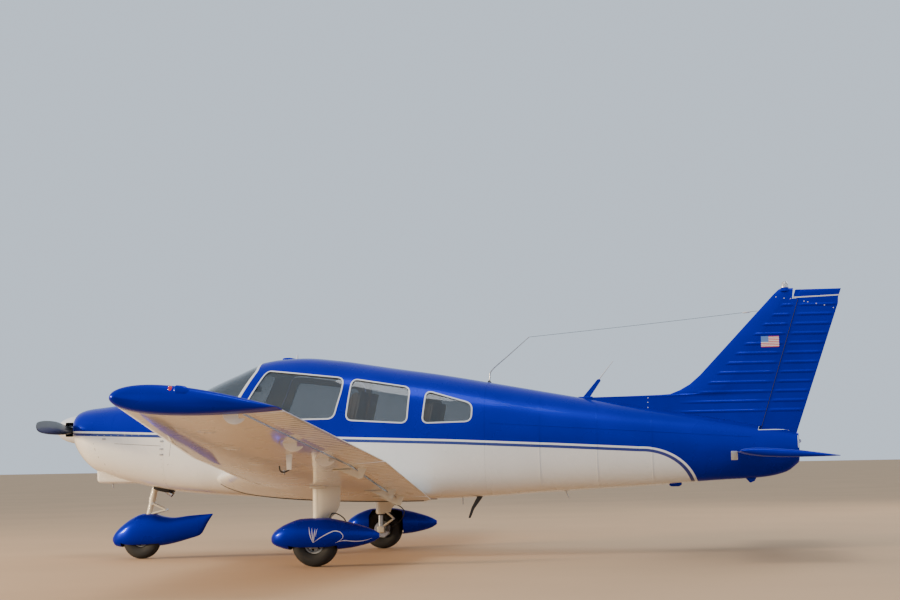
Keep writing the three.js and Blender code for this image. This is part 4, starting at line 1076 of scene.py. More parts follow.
def add_glazing():
    for side, word in SIDES:
        pane(f"{word}_middle_pane", MIDDLE_WINDOW, side, WINDOW_ROUNDING, f"window_{word}_middle")
        pane(f"{word}_rear_pane", REAR_WINDOW, side, WINDOW_ROUNDING, f"window_{word}_rear")
    pane("left_front_pane", FRONT_WINDOW, LEFT, WINDOW_ROUNDING, "window_left_front")
    pane("door_pane", DOOR_WINDOW, RIGHT, DOOR_WINDOW_ROUNDING, "door_window", "cabin_door")
    screen = fuselage("screen", 1370, 2060, PANE_OUTSIDE, GLASS, step=15)
    cut(screen, fuselage("hollow", 1369, 2061, PANE_INSIDE, GLASS, step=15))
    cross(screen, prism(resized(WINDSHIELD, -1), -BIG, BIG, GLASS))
    for side, word in SIDES:
        low, high = between(side, CENTRE_POST + 1, BIG)
        area = box((0, low, 0), (4000, high, 3000), GLASS)
        half = cross(copy_object(screen, f"windshield_{word}_pane"), area)
        finish_piece(half, nodes=[f"windshield_{word}"], sharp=50)
    bpy.data.objects.remove(screen)


def roof_height(station, y):
    """Height of the fuselage skin above a place near the centre line"""
    half, mid, reach, power = section(station, True)
    return mid + reach * (1 - np.minimum(abs(y) / half, 1) ** power) ** (1 / power)


def windshield_edge(side):
    """The windshield's edge from the centre line below to the centre line above"""
    corners = [np.array(c, float) for c in WINDSHIELD[:4]]
    sides = np.vstack([a + (b - a) * np.linspace(0, 1, 60)[:, None] for a, b in zip(corners, corners[1:])])
    sides = on_hull(sides, side)

    def straight_across(station, y):
        s = np.full(len(y), station)
        return np.stack([s, y, roof_height(s, y)], 1)

    bottom = straight_across(corners[0][0], np.linspace(0, sides[0, 1], 20)[:-1])
    top = straight_across(corners[-1][0], np.linspace(sides[-1, 1], 0, 30)[1:])
    return np.vstack([bottom, sides, top])


POST_PROFILE = [(-20, -26), (-20, 0), (-17, 3), (17, 3), (20, 0), (20, -26)]


def strip_profile(width, rise, sink=3):
    """A strip's section of (across, up), with its edges rounded off"""
    half = width / 2
    return [
        (-half, -sink), (-half, rise * 0.4), (-half + 1.5, rise), (half - 1.5, rise), (half, rise * 0.4),
        (half, -sink)
    ]


def add_window_trim():
    """Light frames round every window, with a dark seal against the glass"""
    holes = [
        (MIDDLE_WINDOW, LEFT), (REAR_WINDOW, LEFT), (MIDDLE_WINDOW, RIGHT), (REAR_WINDOW, RIGHT),
        (FRONT_WINDOW, LEFT)
    ]
    frames = [window_frame(outline, side, WINDOW_ROUNDING) for outline, side in holes]
    left, right = windshield_edge(LEFT), windshield_edge(RIGHT)
    loop = evenly(np.vstack([right[:-1], left[1:][::-1]]), 12, closed=True)
    frames.append(hull_ribbon(loop, strip_profile(26, 2.2), TRIM_WHITE, True))
    post = evenly(np.array([(s, 0, roof_height(s, 0.0)) for s in np.linspace(1386, 2032, 60)]), 12)
    frames.append(hull_ribbon(post, POST_PROFILE, TRIM_WHITE))
    finish_piece(merge("window_frames", frames), nodes=["windshield_post"])
    finish_piece(
        window_frame(DOOR_WINDOW, RIGHT, DOOR_WINDOW_ROUNDING, "door_window_frame"), "cabin_door",
    )


def window_frame(outline, side, rounding, name="frame"):
    """The light frame round one window"""
    line = evenly(rounded(resized(outline, 5), rounding + 4, 12), 10, closed=True)
    made = hull_ribbon(on_hull(line, side), strip_profile(13, 2.0), TRIM_WHITE, True)
    made.name = name
    return made


def add_tail_cone():
    """The tail cone, open for the tailplane's tube and the rudder's foot"""
    stations, grow = ends_rounded(CABIN_END + SPLIT, TAIL_END, 30, front=False, back=True)
    cone = loft("tail_cone_skin", fuselage_grid(stations, 96, grow), LIVERY)
    hinge_z = stabilator_height(STABILATOR["hinge"])
    # The walls of the tube's hole are painted near black as shade
    hole = cross_bar(STABILATOR["hinge"], -400, 400, hinge_z, 31, BLACK_AND_SHADE, 32)
    nose = bar(
        hinge_point(RUDDER_BOTTOM - 26), hinge_point(1400), RUDDER_NOSE + CONTROL_GAP, BLUE_PAINT, sides=32
    )
    low = RUDDER_BOTTOM - 8
    seat = prism([(6480, low), (8000, low), (8000, 1400), (6580, 1400)], -300, 300, BLUE_PAINT)
    cut(cone, hole, nose, seat)
    finish_piece(cone, nodes=["tail_cone"])


# Tail surfaces

BEADS = 12
BEAD_TOP, BEAD_LOW, BEAD_HALF, BEAD_RISE, BEAD_RUN = 2178, 1250, 12, 5.5, 22
BEAD_FRONT = (5809, 6721)
FIN_STEP = 5
FIN_REACH, FIN_LIP = 7, 1.6
RUDDER_LOW, RUDDER_TOP = 1035, FIN_TOP - 14
RUDDER_FOOT = [
    (6300, 900), (6300, 1082), (6640, 1082), (6700, 1079), (6750, 1070), (6800, 1054), (6835, 1042),
    (6900, 1042), (6900, 900)
]
RUDDER_HEADS = ((6922, 2207), (6955, 2200), (7028, 2183), (7098, 2168), (7175, 2142))
FIN_HEADS = ((6679, 2251), (6749, 2238), (6806, 2233))
HORN = [(6828, 2240), (6848, 2314), (6900, 2314), (6900, 2240)]
HORN_ROOM = [(6818, 2232), (6839, 2388), (7000, 2388), (7000, 2232)]
HORN_HALF = 17


def bead_rise(height, station, start, end):
    """How far the pressed beads stand out at a height and a station"""
    places = np.linspace(BEAD_TOP, BEAD_LOW, BEADS)
    near = np.min(abs(places[:, None] - height), axis=0) / BEAD_HALF
    across = np.sqrt(np.clip(1 - near**2, 0, 1))
    along = np.clip((station - start) / BEAD_RUN, 0, 1) * np.clip((end - station) / BEAD_RUN, 0, 1)
    return BEAD_RISE * across[:, None] * np.sqrt(along)


def mirrored_ring(station, half, height):
    """Closed rings from upper half outlines that start at the nose and end at the back"""
    right = np.stack([station, half, height], -1)
    left = np.stack([station, -half, height], -1)[:, 1:][:, ::-1]
    return np.concatenate([right, left], 1)


def rudder_nose(height):
    """Radius of the rudder's round front edge, thinner towards the top"""
    return np.interp(height, (1100, 2290, 2291), (26, 20, 17))


def fin_half(height, station, front, back):
    """Half thickness of the fin along its chord, as wide as the rudder's nose at the back"""
    part = (station - front) / (back - front)
    body = smooth(FIN, height, 2) * np.sqrt(np.clip(part * 2.2, 0, 1)) * (1 - 0.3 * part)
    edge = rudder_nose(height) + FIN_LIP + 1.6
    return body * (1 - part**2) + edge * part**2


def add_fin():
    """The fin's skins reach back over the rudder's nose, with a round hollow between them"""
    height = np.arange(FIN_BOTTOM, FIN_TOP - 12, FIN_STEP, dtype=float)
    height = np.concatenate([height, FIN_TOP - np.array([9, 5, 2, 0])])
    cap = np.sqrt(np.clip((FIN_TOP - height) / 12, 0.02, 1))[:, None]
    rows = height[:, None]
    hinge = hinge_station(rows)
    front = linear(FIN, height, 1)[:, None] + 14 * (1 - cap)
    back = hinge - FIN_REACH
    station = front + (back - front) * (1 - np.cos(np.linspace(0, math.pi / 2, 44)))[None]
    y = fin_half(rows, station, front, back) * cap
    bead_front = np.interp(rows, (BEAD_LOW, BEAD_TOP), BEAD_FRONT)
    y = y + bead_rise(height, station, bead_front, back - 26)
    radius = rudder_nose(rows) + FIN_LIP
    turns = np.arccos(FIN_REACH / radius) * np.linspace(1, 0, 7)[None]
    hollow_y = radius * np.sin(turns) * cap
    station = np.hstack([station, hinge - radius * np.cos(turns)])
    rings = mirrored_ring(station, np.hstack([y, hollow_y]), np.broadcast_to(rows, station.shape))
    fin = loft("fin_skin", rings, BLUE_PAINT)
    cut(fin, prism(HORN_ROOM, -100, 100, BLUE_PAINT))
    finish_piece(fin, nodes=["fin"], sharp=45)
    # Dark rods along both sides of the hinge line: painted shadow of the gap between the fin's lip and the
    # rudder
    height = np.linspace(RUDDER_BOTTOM, 2232, 40)
    gap_shadows = []
    for side in (LEFT, RIGHT):
        y = side * (rudder_nose(height) + 3.4)
        gap_shadows.append(rod(np.stack([hinge_station(height) - 4.5, y, height], 1), 2.6, SEAL_AND_GAP_SHADE, 8))
    finish_piece(merge("rudder_gap_shadow", gap_shadows))


def rudder_half(height, station):
    """Half thickness of the rudder behind its hinge line"""
    front, back = hinge_station(height), linear(RUDDER_EDGE, height, 1)
    part = np.clip((station - front) / (back - front - 3), 0, 1)
    return rudder_nose(height) * (1 - part) + 4 * part


def add_rudder():
    rows = np.arange(RUDDER_LOW, FIN_TOP - 26, FIN_STEP)
    height = np.concatenate([rows, RUDDER_TOP - np.array([10, 6, 3, 1, 0])])
    cap = np.sqrt(np.clip((RUDDER_TOP - height) / 10, 0.1, 1))
    front = np.array([hinge_station(h) for h in height])
    back = linear(RUDDER_EDGE, height, 1)
    turns = np.linspace(-math.pi / 2, 0, 9)
    nose_half = rudder_nose(height) * cap
    part = np.linspace(0, 1, 26)[1:]
    nose_s = front[:, None] - nose_half[:, None] * np.cos(turns + math.pi / 2)[None]
    nose_y = nose_half[:, None] * np.sin(turns + math.pi / 2)[None]
    side_s = front[:, None] + (back - front - 3)[:, None] * part[None]
    side_y = nose_half[:, None] + (4 * cap - nose_half)[:, None] * part[None]
    side_y = side_y + bead_rise(height, side_s, front[:, None] + 22, back[:, None] - 20)
    station = np.concatenate([nose_s, side_s, back[:, None]], 1)
    y = np.concatenate([nose_y, side_y, 0 * back[:, None] + 0.5], 1)
    rings = mirrored_ring(station, y, np.broadcast_to(height[:, None], station.shape))
    horn = round_edges(prism(HORN, -HORN_HALF, HORN_HALF, BLUE_PAINT), 5)
    rudder = cut(loft("rudder_skin", rings, BLUE_PAINT), prism(RUDDER_FOOT, -100, 100, BLUE_PAINT))
    finish_piece(join(rudder, horn), "rudder", ["rudder"], 45, "rudder_skin")
    add_rudder_cap()


def add_rudder_cap():
    """The light line below the rudder's top, and the row of bright heads under it"""
    lines, places, normals = [], [], []
    ends = (6829, 7236)
    for side in (LEFT, RIGHT):
        s = np.linspace(*ends, 16)
        z = np.interp(s, ends, (2243, 2256))
        y = np.maximum(rudder_half(z, s), np.where(s < 6900, HORN_HALF, 0))
        path = np.stack([s, side * y, z], 1)
        facing = np.tile((0.0, side, 0.0), (16, 1))
        lines.append(ribbon(path, facing, [(-5.5, -4), (-5.5, 2), (5.5, 2), (5.5, -4)], False, TRIM_WHITE))
        for head_s, head_z in RUDDER_HEADS:
            proud = BEAD_RISE if head_z < BEAD_TOP + BEAD_HALF else 0.2
            places.append((head_s, side * (float(rudder_half(head_z, head_s)) + proud), head_z))
            normals.append((0, side, 0))
    lines.append(domes(places, normals, 5.5, 2.0, TRIM_WHITE))
    finish_piece(merge("rudder_cap_line", lines), "rudder")


def slab_ring(y, front, back, thickness, count=36):
    """The outline of the tailplane's section at one Y"""
    part = chord_parts(count)
    station = front + (back - front) * part
    half = thickness * profile_half(part) + 2.5 * part
    edges = [
        np.stack([station, np.full(count, y), stabilator_height(station) + sign * half], 1)
        for sign in (1, -1)
    ]
    return np.vstack([edges[0], edges[1][1:][::-1]])


def stabilator_half(side):
    """One side of the tailplane with its rounded tip"""
    s = STABILATOR
    rings = [
        slab_ring(side * y, s["front"], s["back"], s["thickness"])
        for y in np.linspace(s["root"], s["tip"] - 40, 24)
    ]
    for turn in np.linspace(0, math.pi / 2, 7)[1:]:
        shrink = 1 - math.cos(turn)
        y = s["tip"] - 40 + 38 * math.sin(turn)
        rings.append(
            slab_ring(
                side * y, s["front"] + 26 * shrink, s["back"] - 6 * shrink,
                s["thickness"] * (1 - 0.85 * shrink)
            )
        )
    return loft("half", np.array(rings), BLUE_PAINT)


def tab_zone(side, extra):
    """The space of the tailplane's tab on one side"""
    s = STABILATOR
    low, high = between(side, s["tab_inner"], s["tab_outer"])
    z = stabilator_height(s["tab_front"])
    zone = box((s["tab_front"] - extra, low - extra, 700), (7200, high + extra, 1000), BLUE_PAINT)
    nose = cross_bar(s["tab_front"], low - extra, high + extra, z, 13 + extra, BLUE_PAINT)
    return join(zone, nose)


def add_stabilator():
    s = STABILATOR
    hinge_z, tab_z = stabilator_height(s["hinge"]), stabilator_height(s["tab_front"])
    slabs, tabs = [], []
    for side, _ in SIDES:
        slab = stabilator_half(side)
        tabs.append(cross(copy_object(slab, "tab"), tab_zone(side, 0)))
        slabs.append(cut(slab, tab_zone(side, CONTROL_GAP - 1)))
    reach = s["root"] + 20
    slabs.append(cross_bar(s["hinge"], -reach, reach, hinge_z, 24, ALUMINIUM, 32))
    reach = s["tab_inner"] + 10
    tabs.append(cross_bar(s["tab_front"], -reach, reach, tab_z, 9, ALUMINIUM))
    finish_piece(merge("stabilator_skin", slabs), "stabilator", ["stabilator"])
    finish_piece(merge("stabilator_tab_skin", tabs), "stabilator_tab", ["stabilator_tab"])


# Wings

TIP_THICKNESS = 176
# The tip's rounding: Y and the share of its thickness
TIP_ROUNDING = ((5290, 1.0), (5301, 0.97), (5312, 0.89), (5322, 0.75), (5329, 0.56), (5333, 0.34))
CORRUGATION, CORRUGATION_RISE = 78, 3.0
CORRUGATION_PROFILE = [
    (-13, -1), (-9, 1.6), (-4, CORRUGATION_RISE), (4, CORRUGATION_RISE), (9, 1.6), (13, -1)
]


def wing_blank(side, low, high, step=150):
    """A wing between two Y, before its flap and aileron are cut out"""
    rows = sorted({*np.round(steps_between(low, high, step), 3), *(y for y in WING[:, 0] if low < y < high)})
    return loft("wing", np.array([wing_ring(y, side) for y in rows]), WHITE_PAINT)


def hinge_line(surface, y):
    """Station of a flap's or aileron's hinge"""
    part = (y - surface["inner"]) / (surface["outer"] - surface["inner"])
    return surface["hinge_inner"] + (surface["hinge_outer"] - surface["hinge_inner"]) * part


def hinged_zone(surface, side, cutting):
    """The space of a flap or aileron, or the wing's roomier cut for it"""
    gap, end_gap, nose_gap = (CONTROL_GAP, END_GAP, NOSE_GAP) if cutting else (0, 0, -1)
    y0, y1 = surface["inner"] - end_gap, surface["outer"] + end_gap
    s0, s1 = surface["hinge_inner"], surface["hinge_outer"]
    inner_radius = wing_half(surface["inner"], s0) + nose_gap
    outer_radius = wing_half(surface["outer"], s1) + nose_gap
    nose = bar(
        (s0, side * y0, wing_mid(y0, s0)), (s1, side * y1, wing_mid(y1, s1)), (inner_radius, outer_radius),
        WHITE_PAINT, 40
    )
    corners = [(s0 - gap, side * y0), (3800, side * y0), (3800, side * y1), (s1 - gap, side * y1)]
    return join(plan_prism(corners, 300, 1600, WHITE_PAINT), nose)


def add_wings():
    """Both wings with their flaps and ailerons cut out, and the tips"""
    for side, word in SIDES:
        blank = wing_blank(side, WING_ROOT_Y, TIP_JOINT_Y - SPLIT)
        for surface, kind in ((FLAP, "flap"), (AILERON, "aileron")):
            moving = cross(copy_object(blank, f"{kind}_{word}_skin"), hinged_zone(surface, side, False))
            finish_piece(moving, f"{kind}_{word}", [f"{kind}_{word}"])
        wing = cut(blank, hinged_zone(FLAP, side, True), hinged_zone(AILERON, side, True))
        finish_piece(wing, nodes=[f"wing_{word}"], name=f"wing_{word}_skin")
        add_wing_tip(side, word)


def add_wing_tip(side, word):
    """The tip cap, thinning to a round end"""
    rings = []
    start = TIP_ROUNDING[0][0]
    places = [*steps_between(TIP_JOINT_Y + SPLIT, start, 13), *(y for y, _ in TIP_ROUNDING[1:])]
    for y in places:
        row = [float(smooth(WING, y, k)) for k in range(1, 6)]
        if y > start:
            row[4] = TIP_THICKNESS * np.interp(y, *zip(*TIP_ROUNDING))
        rings.append(wing_ring(y, side, table_row=row))
    tip = loft(f"wingtip_{word}_skin", np.array(rings), BLUE_PAINT)
    finish_piece(tip, nodes=[f"wingtip_{word}"], sharp=50)


# Propeller

SPINNER_SLOT = (118, 216, 66)


def blade_rings(side):
    """One blade's rings, each an aerofoil section turned to its blade angle"""
    rings = []
    for radius in steps_between(40, 940, 26):
        chord, thickness, angle = (float(smooth(BLADE, radius, k)) for k in (1, 2, 3))
        part = chord_parts(16)
        half = thickness * profile_half(part) * 1.6 + 1.2
        across = np.concatenate([part, part[1:-1][::-1]]) - 0.42
        out = np.concatenate([half, -0.55 * half[1:-1][::-1]])
        cos, sin = math.cos(math.radians(angle)), math.sin(math.radians(angle))
        across = across * chord
        s = BLADE_STATION + side * across * sin - out * cos
        z = THRUST_LINE + across * cos + side * out * sin
        rings.append(np.stack([s, np.full(len(s), side * radius), z], 1))
    return np.array(rings)


def add_propeller():
    axis = (0, THRUST_LINE)
    parts = [loft("blade", blade_rings(side), BLACK_PAINT) for side in (LEFT, RIGHT)]
    parts.append(bar((118, *axis), (218, *axis), 62, ALUMINIUM, sides=48))
    parts.append(bar((210, *axis), (256, *axis), 44, STEEL, sides=48))
    finish_piece(merge("propeller_blades", parts), "propeller", ["propeller"], sharp=40)
    share = np.linspace(0, 1, 30) ** 1.4
    radius = SPINNER_RADIUS * np.sqrt(np.maximum(1 - (1 - share) ** 1.9, 0))
    outline = [(max(r, AXIS), s) for r, s in zip(radius, share * (SPINNER_BACK - 14))]
    outline += [(SPINNER_RADIUS + 2, 231), (SPINNER_RADIUS + 2, 241), (SPINNER_RADIUS - 2, 243), (AXIS, 243)]
    shell = turned(outline, (0, *axis), AFT, TRIM_WHITE, 72)
    front, back, half = SPINNER_SLOT
    slots = []
    for side, _ in SIDES:
        low, high = between(side, 20, 300)
        slots.append(box((front, low, THRUST_LINE - half), (back, high, THRUST_LINE + half), BLACK_AND_SHADE))
    # The spinner's inside and the walls of its slots are painted near black as shade
    core = bar((100, *axis), (300, *axis), 78, BLACK_AND_SHADE, sides=48)
    cut(shell, core, *slots)
    finish_piece(shell, "propeller", ["spinner"], 40, "spinner_shell")


# Wheels and landing gear

TYRES = {
    "nose": {"radius": NOSE_TYRE_RADIUS, "width": 122, "bead": 68},
    "main": {"radius": MAIN_TYRE_RADIUS, "width": 156, "bead": 84},
}
RIM_HUB, RIM_WELL, RIM_HOLES, RIM_TURN = 38, 16, 6, 0.3
STRUT_TOP, STRUT_FOOT = (952, 0, 655), (850, 0, 236)
BRAKE_Y = 1432


def tyre_outline(radius, width, bead):
    """A tyre's section from bead to bead over the tread, with four grooves"""
    half = width / 2
    side = [
        (bead, 0.62), (bead + 6, 0.8), (bead + 0.3 * (radius - bead), 0.97),
        (bead + 0.5 * (radius - bead), 1.0)
    ]
    side += [(radius - 26, 0.93), (radius - 12, 0.78), (radius - 4, 0.55)]
    tread = []
    for centre in (-0.36, -0.12, 0.12, 0.36):
        at = centre * half
        crown = radius - 10 * centre**2
        tread += [(crown, at - 5), (crown - 7, at - 3.4), (crown - 7, at + 3.4), (crown, at + 5)]
    outer = [(r, -w * half) for r, w in side]
    back = [(r, w * half) for r, w in reversed(side)]
    inner = [(bead, 0.5 * half), (bead - 3, 0.3 * half), (bead - 3, -0.3 * half), (bead, -0.5 * half)]
    return outer + tread + back + inner


def add_wheel(name, kind, centre, body, nodes):
    size = TYRES[kind]
    tyre = turned(tyre_outline(**size), centre, ACROSS, RUBBER, 96)
    finish_piece(tyre, body, [nodes[0]], 38, f"{name}_tyre_ring")
    half, bead = size["width"] / 2, size["bead"]
    lip = bead - 2
    near = [
        (14, 0.62), (34, 0.62), (RIM_HUB, 0.5), (lip - RIM_WELL, 0.34), (lip - 10, 0.6), (lip, 0.64),
        (lip, 0.3), (lip - 4, 0.26),
    ]
    outline = [(r, -w * half) for r, w in near] + [(r, w * half) for r, w in reversed(near)]
    rim = turned(outline, centre, ACROSS, WHEEL_PAINT, 72)
    s, y, z = centre
    at = 0.5 * (RIM_HUB + lip - RIM_WELL)

    def on_circle(k):
        turn = 2 * math.pi * k / RIM_HOLES + RIM_TURN
        return s + at * math.cos(turn), z + at * math.sin(turn)

    # The walls of the rim's holes are painted near black as shade
    holes, bolts = [], []
    for k in range(RIM_HOLES):
        hole_s, hole_z = on_circle(k)
        holes.append(cross_bar(hole_s, y - half, y + half, hole_z, 8 if kind == "nose" else 10, BLACK_AND_SHADE, 16))
        bolt_s, bolt_z = on_circle(k + 0.5)
        for way in (LEFT, RIGHT):
            bolts.append(cross_bar(bolt_s, y + way * 0.3 * half, y + way * 0.52 * half, bolt_z, 5, STEEL, 6))
    cut(rim, *holes)
    finish_piece(merge(f"{name}_rim_disc", [rim, *bolts]), body, [nodes[1]], sharp=36)


def add_wheels():
    add_wheel("nose", "nose", (NOSE_WHEEL, 0, NOSE_TYRE_RADIUS), "nose_wheel", ("nose_tyre", "nose_rim"))
    for side, word in SIDES:
        centre = (MAIN_WHEEL, side * MAIN_Y, MAIN_TYRE_RADIUS)
        add_wheel(word, "main", centre, f"{word}_wheel", (f"{word}_tyre", f"{word}_rim"))


def main_cover(side):
    """The streamlined cover of a main wheel: hollow, open below and cut away beside the leg"""
    y = side * MAIN_Y
    stations = MAIN_FAIRING[0, 0] + (MAIN_FAIRING[-1, 0] - MAIN_FAIRING[0, 0]) * chord_parts(44)
    shell = loft("cover", pod_grid(MAIN_FAIRING, y, stations), COVER_BLUE)
    inner = np.linspace(2475, 3320, 30)
    # The cover's inside and the edges of its cut-outs are painted near black as shade
    hollow = loft("hollow", pod_grid(MAIN_FAIRING, y, inner, FAIRING_WALL), BLACK_AND_SHADE)
    well = box((2606, y - 100, 0), (3014, y + 100, 220), BLACK_AND_SHADE)
    outline = [(2690, 60), (2690, 330), (2740, 420), (2990, 420), (3030, 330), (3030, 60)]
    gap = prism(rounded(outline, 30), *between(side, 1000, 1455), BLACK_AND_SHADE)
    return cut(shell, hollow, well, gap)


def add_main_gear():
    for side, word in SIDES:
        fairing = [f"{word}_wheel_fairing"]
        finish_piece(main_cover(side), nodes=fairing, name=f"{word}_wheel_cover")
        add_main_leg(side, word)


def add_main_leg(side, word):
    """The strut in its cover, the axle, the torque links, and the brake with its hose"""
    y = side * LEG_Y
    top = wing_lower(LEG_Y, MAIN_WHEEL)
    housing = [(AXIS, 343), (40, 343), (46, 349), (46, top + 30), (AXIS, top + 30)]
    collar = [(30, 356), (50, 356), (50, 374), (30, 374)]
    piston = [(AXIS, 190), (26, 190), (26, 350), (AXIS, 350)]
    boot = [(20, 330), (31, 330), (33, 343), (20, 343)]
    rings = ((housing, CREAM_PAINT, 40), (collar, CREAM_PAINT, 40), (piston, STEEL, 40), (boot, HOSE, 32))
    parts = [turned(outline, (MAIN_WHEEL, y, 0), UP, material, sides) for outline, material, sides in rings]
    parts.append(soft_box((MAIN_WHEEL - 34, y - 30, 160), (MAIN_WHEEL + 34, y + 30, 222), 8, CREAM_PAINT))
    parts.append(cross_bar(MAIN_WHEEL, y, side * 1590, MAIN_TYRE_RADIUS, 17, STEEL, 32))
    parts.append(leg_cover(y, top))
    parts.append(soft_box((2752, y - 58, top - 14), (2890, y + 58, top + 10), 7, CREAM_PAINT))
    parts += torque_links(MAIN_LINKS, y, 12, CREAM_PAINT)
    disc_y = side * BRAKE_Y
    disc = [(40, -3), (76, -3), (76, 3), (40, 3)]
    parts.append(turned(disc, (MAIN_WHEEL, disc_y, MAIN_TYRE_RADIUS), ACROSS, STEEL, 48))
    parts.append(soft_box((2858, disc_y - 20, 168), (2900, disc_y + 20, 232), 6, CAST))
    hose = curve([(s, y + side * out, z) for s, out, z in BRAKE_HOSE], 8)
    parts.append(rod(hose, 5, HOSE, 10))
    finish_piece(merge(f"{word}_gear_leg", parts), nodes=[f"{word}_leg"], sharp=40)


# The back edge of the leg's cover: height and station
LEG_BACK = ((359, 2912), (401, 2925), (434, 2962), (480, 2990), (520, 2998), (640, 3004), (900, 3004))
LEG_FRONT, LEG_FOOT, LEG_HALF, LEG_POINTS = 2766, 359, 46, 20


def leg_cover(y, top):
    """The leg's streamlined cover"""
    part = chord_parts(LEG_POINTS)
    width = LEG_HALF * np.minimum(1, profile_half(part) / 0.5) * (1 - 0.15 * part) + 1.5
    rings = []
    for z in steps_between(LEG_FOOT, top + 4, 22):
        s = LEG_FRONT + (float(np.interp(z, *zip(*LEG_BACK))) - LEG_FRONT) * part
        outer = np.stack([s, y + width, np.full(LEG_POINTS, z)], 1)
        inner = np.stack([s, y - width, np.full(LEG_POINTS, z)], 1)[1:-1][::-1]
        rings.append(np.vstack([outer, inner]))
    return loft("leg_cover", np.array(rings), CREAM_PAINT)


def round_edges(made, width, segments=3, angle=40):
    """Rounds the sharper edges of a solid"""
    with editing(made.data) as work:
        edges = [
            e for e in work.edges if len(e.link_faces) == 2 and e.calc_face_angle() > math.radians(angle)
        ]
        bmesh.ops.bevel(
            work, geom=edges, offset=width * MM, segments=segments, affect="EDGES", clamp_overlap=True
        )
    return made


def torque_links(corners, y, half, material):
    """Two hinged links, each a pair of bars that meet in an apex, with pins at the ends"""
    top, apex, foot = (np.array((s, y, z), float) for s, z in corners)
    spread = np.array((0, 22, 0))
    parts = []
    for end in (top, foot):
        for way in (-1, 1):
            parts.append(
                rod([end + way * spread, apex + way * spread * 0.35], [half * 0.8, half * 0.65], material, 10)
            )
        parts.append(bar(end - spread * 1.4, end + spread * 1.4, half * 0.9, STEEL, sides=16))
    parts.append(bar(apex - spread, apex + spread, half * 0.8, STEEL, sides=16))
    return parts


def nose_cover():
    """The streamlined cover of the nose wheel: hollow, open below, with a slot for the strut"""
    stations = NOSE_FAIRING[0, 0] + (NOSE_FAIRING[-1, 0] - NOSE_FAIRING[0, 0]) * chord_parts(44)
    shell = loft("nose_cover", pod_grid(NOSE_FAIRING, 0, stations), COVER_BLUE)
    # The cover's inside and the edges of its cut-outs are painted near black as shade
    hollow = loft("hollow", pod_grid(NOSE_FAIRING, 0, np.linspace(580, 1300, 28), FAIRING_WALL), BLACK_AND_SHADE)
    well = box((640, -78, 0), (1006, 78, 190), BLACK_AND_SHADE)
    run = np.array(STRUT_TOP, float) - STRUT_FOOT
    slot = bar(STRUT_FOOT, np.array(STRUT_FOOT) + 0.7 * run, 42, BLACK_AND_SHADE, sides=32)
    return cut(shell, hollow, well, slot)


FORK_ARM = [(840, 362), (905, 362), (852, 172), (836, 150), (812, 150), (798, 172)]
# Station and height of the torque links' upper end, apex and lower end
NOSE_LINKS = ((936, 506), (1062, 446), (922, 412))
MAIN_LINKS = ((2845, 385), (2945, 296), (2838, 222))
# The brake hose's station, distance outwards from the leg, and height
BRAKE_HOSE = (
    (2880, 8, 380), (2914, 22, 398), (2934, 28, 430), (2979, 26, 427), (3030, 20, 392), (3046, 16, 350),
    (3012, 20, 280), (2940, 40, 228), (2898, 40, 212),
)


def add_nose_gear():
    """The fork in its cover, the strut, and its mount with struts to the firewall"""
    finish_piece(nose_cover(), "nose_fork", ["nose_wheel_fairing"])
    top, foot = np.array(STRUT_TOP, float), np.array(STRUT_FOOT, float)
    run = (top - foot) / (top[2] - foot[2])

    def on_strut(z):
        return foot + run * (z - foot[2])

    parts = [
        bar(on_strut(520), on_strut(662), 30, CREAM_PAINT, sides=40),
        bar(on_strut(545), on_strut(560), 34, CREAM_PAINT, sides=40),
        bar(on_strut(361), on_strut(540), 25, CREAM_PAINT, sides=40),
        soft_box((815, -82, 345), (925, 82, 369), 8, CREAM_PAINT),
        cross_bar(NOSE_WHEEL, -88, 88, NOSE_TYRE_RADIUS, 13, STEEL),
    ]
    for side, _ in SIDES:
        arm = prism(rounded(FORK_ARM, 12, 5), *between(side, 73, 82), CREAM_PAINT)
        parts.append(round_edges(arm, 2.5, 2))
    parts += torque_links(NOSE_LINKS, 0, 14, CREAM_PAINT)
    finish_piece(merge("nose_fork_parts", parts), "nose_fork", ["nose_fork"], sharp=40)
    mount_top = on_strut(890)
    mount = [bar(on_strut(668), mount_top, 38, CREAM_PAINT, sides=40)]
    mount.append(bar(on_strut(668), on_strut(690), 44, CREAM_PAINT, sides=40))
    for way in (-1, 1):
        mount.append(rod([on_strut(860), (1182, way * 120, 860)], 12, STEEL, 14))
        mount.append(rod([on_strut(720), (1182, way * 160, 820)], 11, STEEL, 14))
    finish_piece(merge("nose_mount_parts", mount), nodes=["nose_leg_mount"], sharp=40)


# Rivets and seams

RIVET_RADIUS, RIVET_RISE = 2.6, 1.1


def hull_rivets(lines, pitch=42):
    """Places of heads along lines on the fuselage, each a side-view line and a side"""
    return np.vstack([evenly(on_hull(line, side), pitch) for line, side in lines])


def band_line(station, low, high):
    """A side-view line straight up"""
    z = np.linspace(low, high, 40)
    return np.stack([np.full(40, station), z], 1)


def long_line(points):
    """A side-view line through the points, in many short steps"""
    points = np.array(points, float)
    s = np.linspace(points[0, 0], points[-1, 0], 120)
    return np.stack([s, np.interp(s, points[:, 0], points[:, 1])], 1)


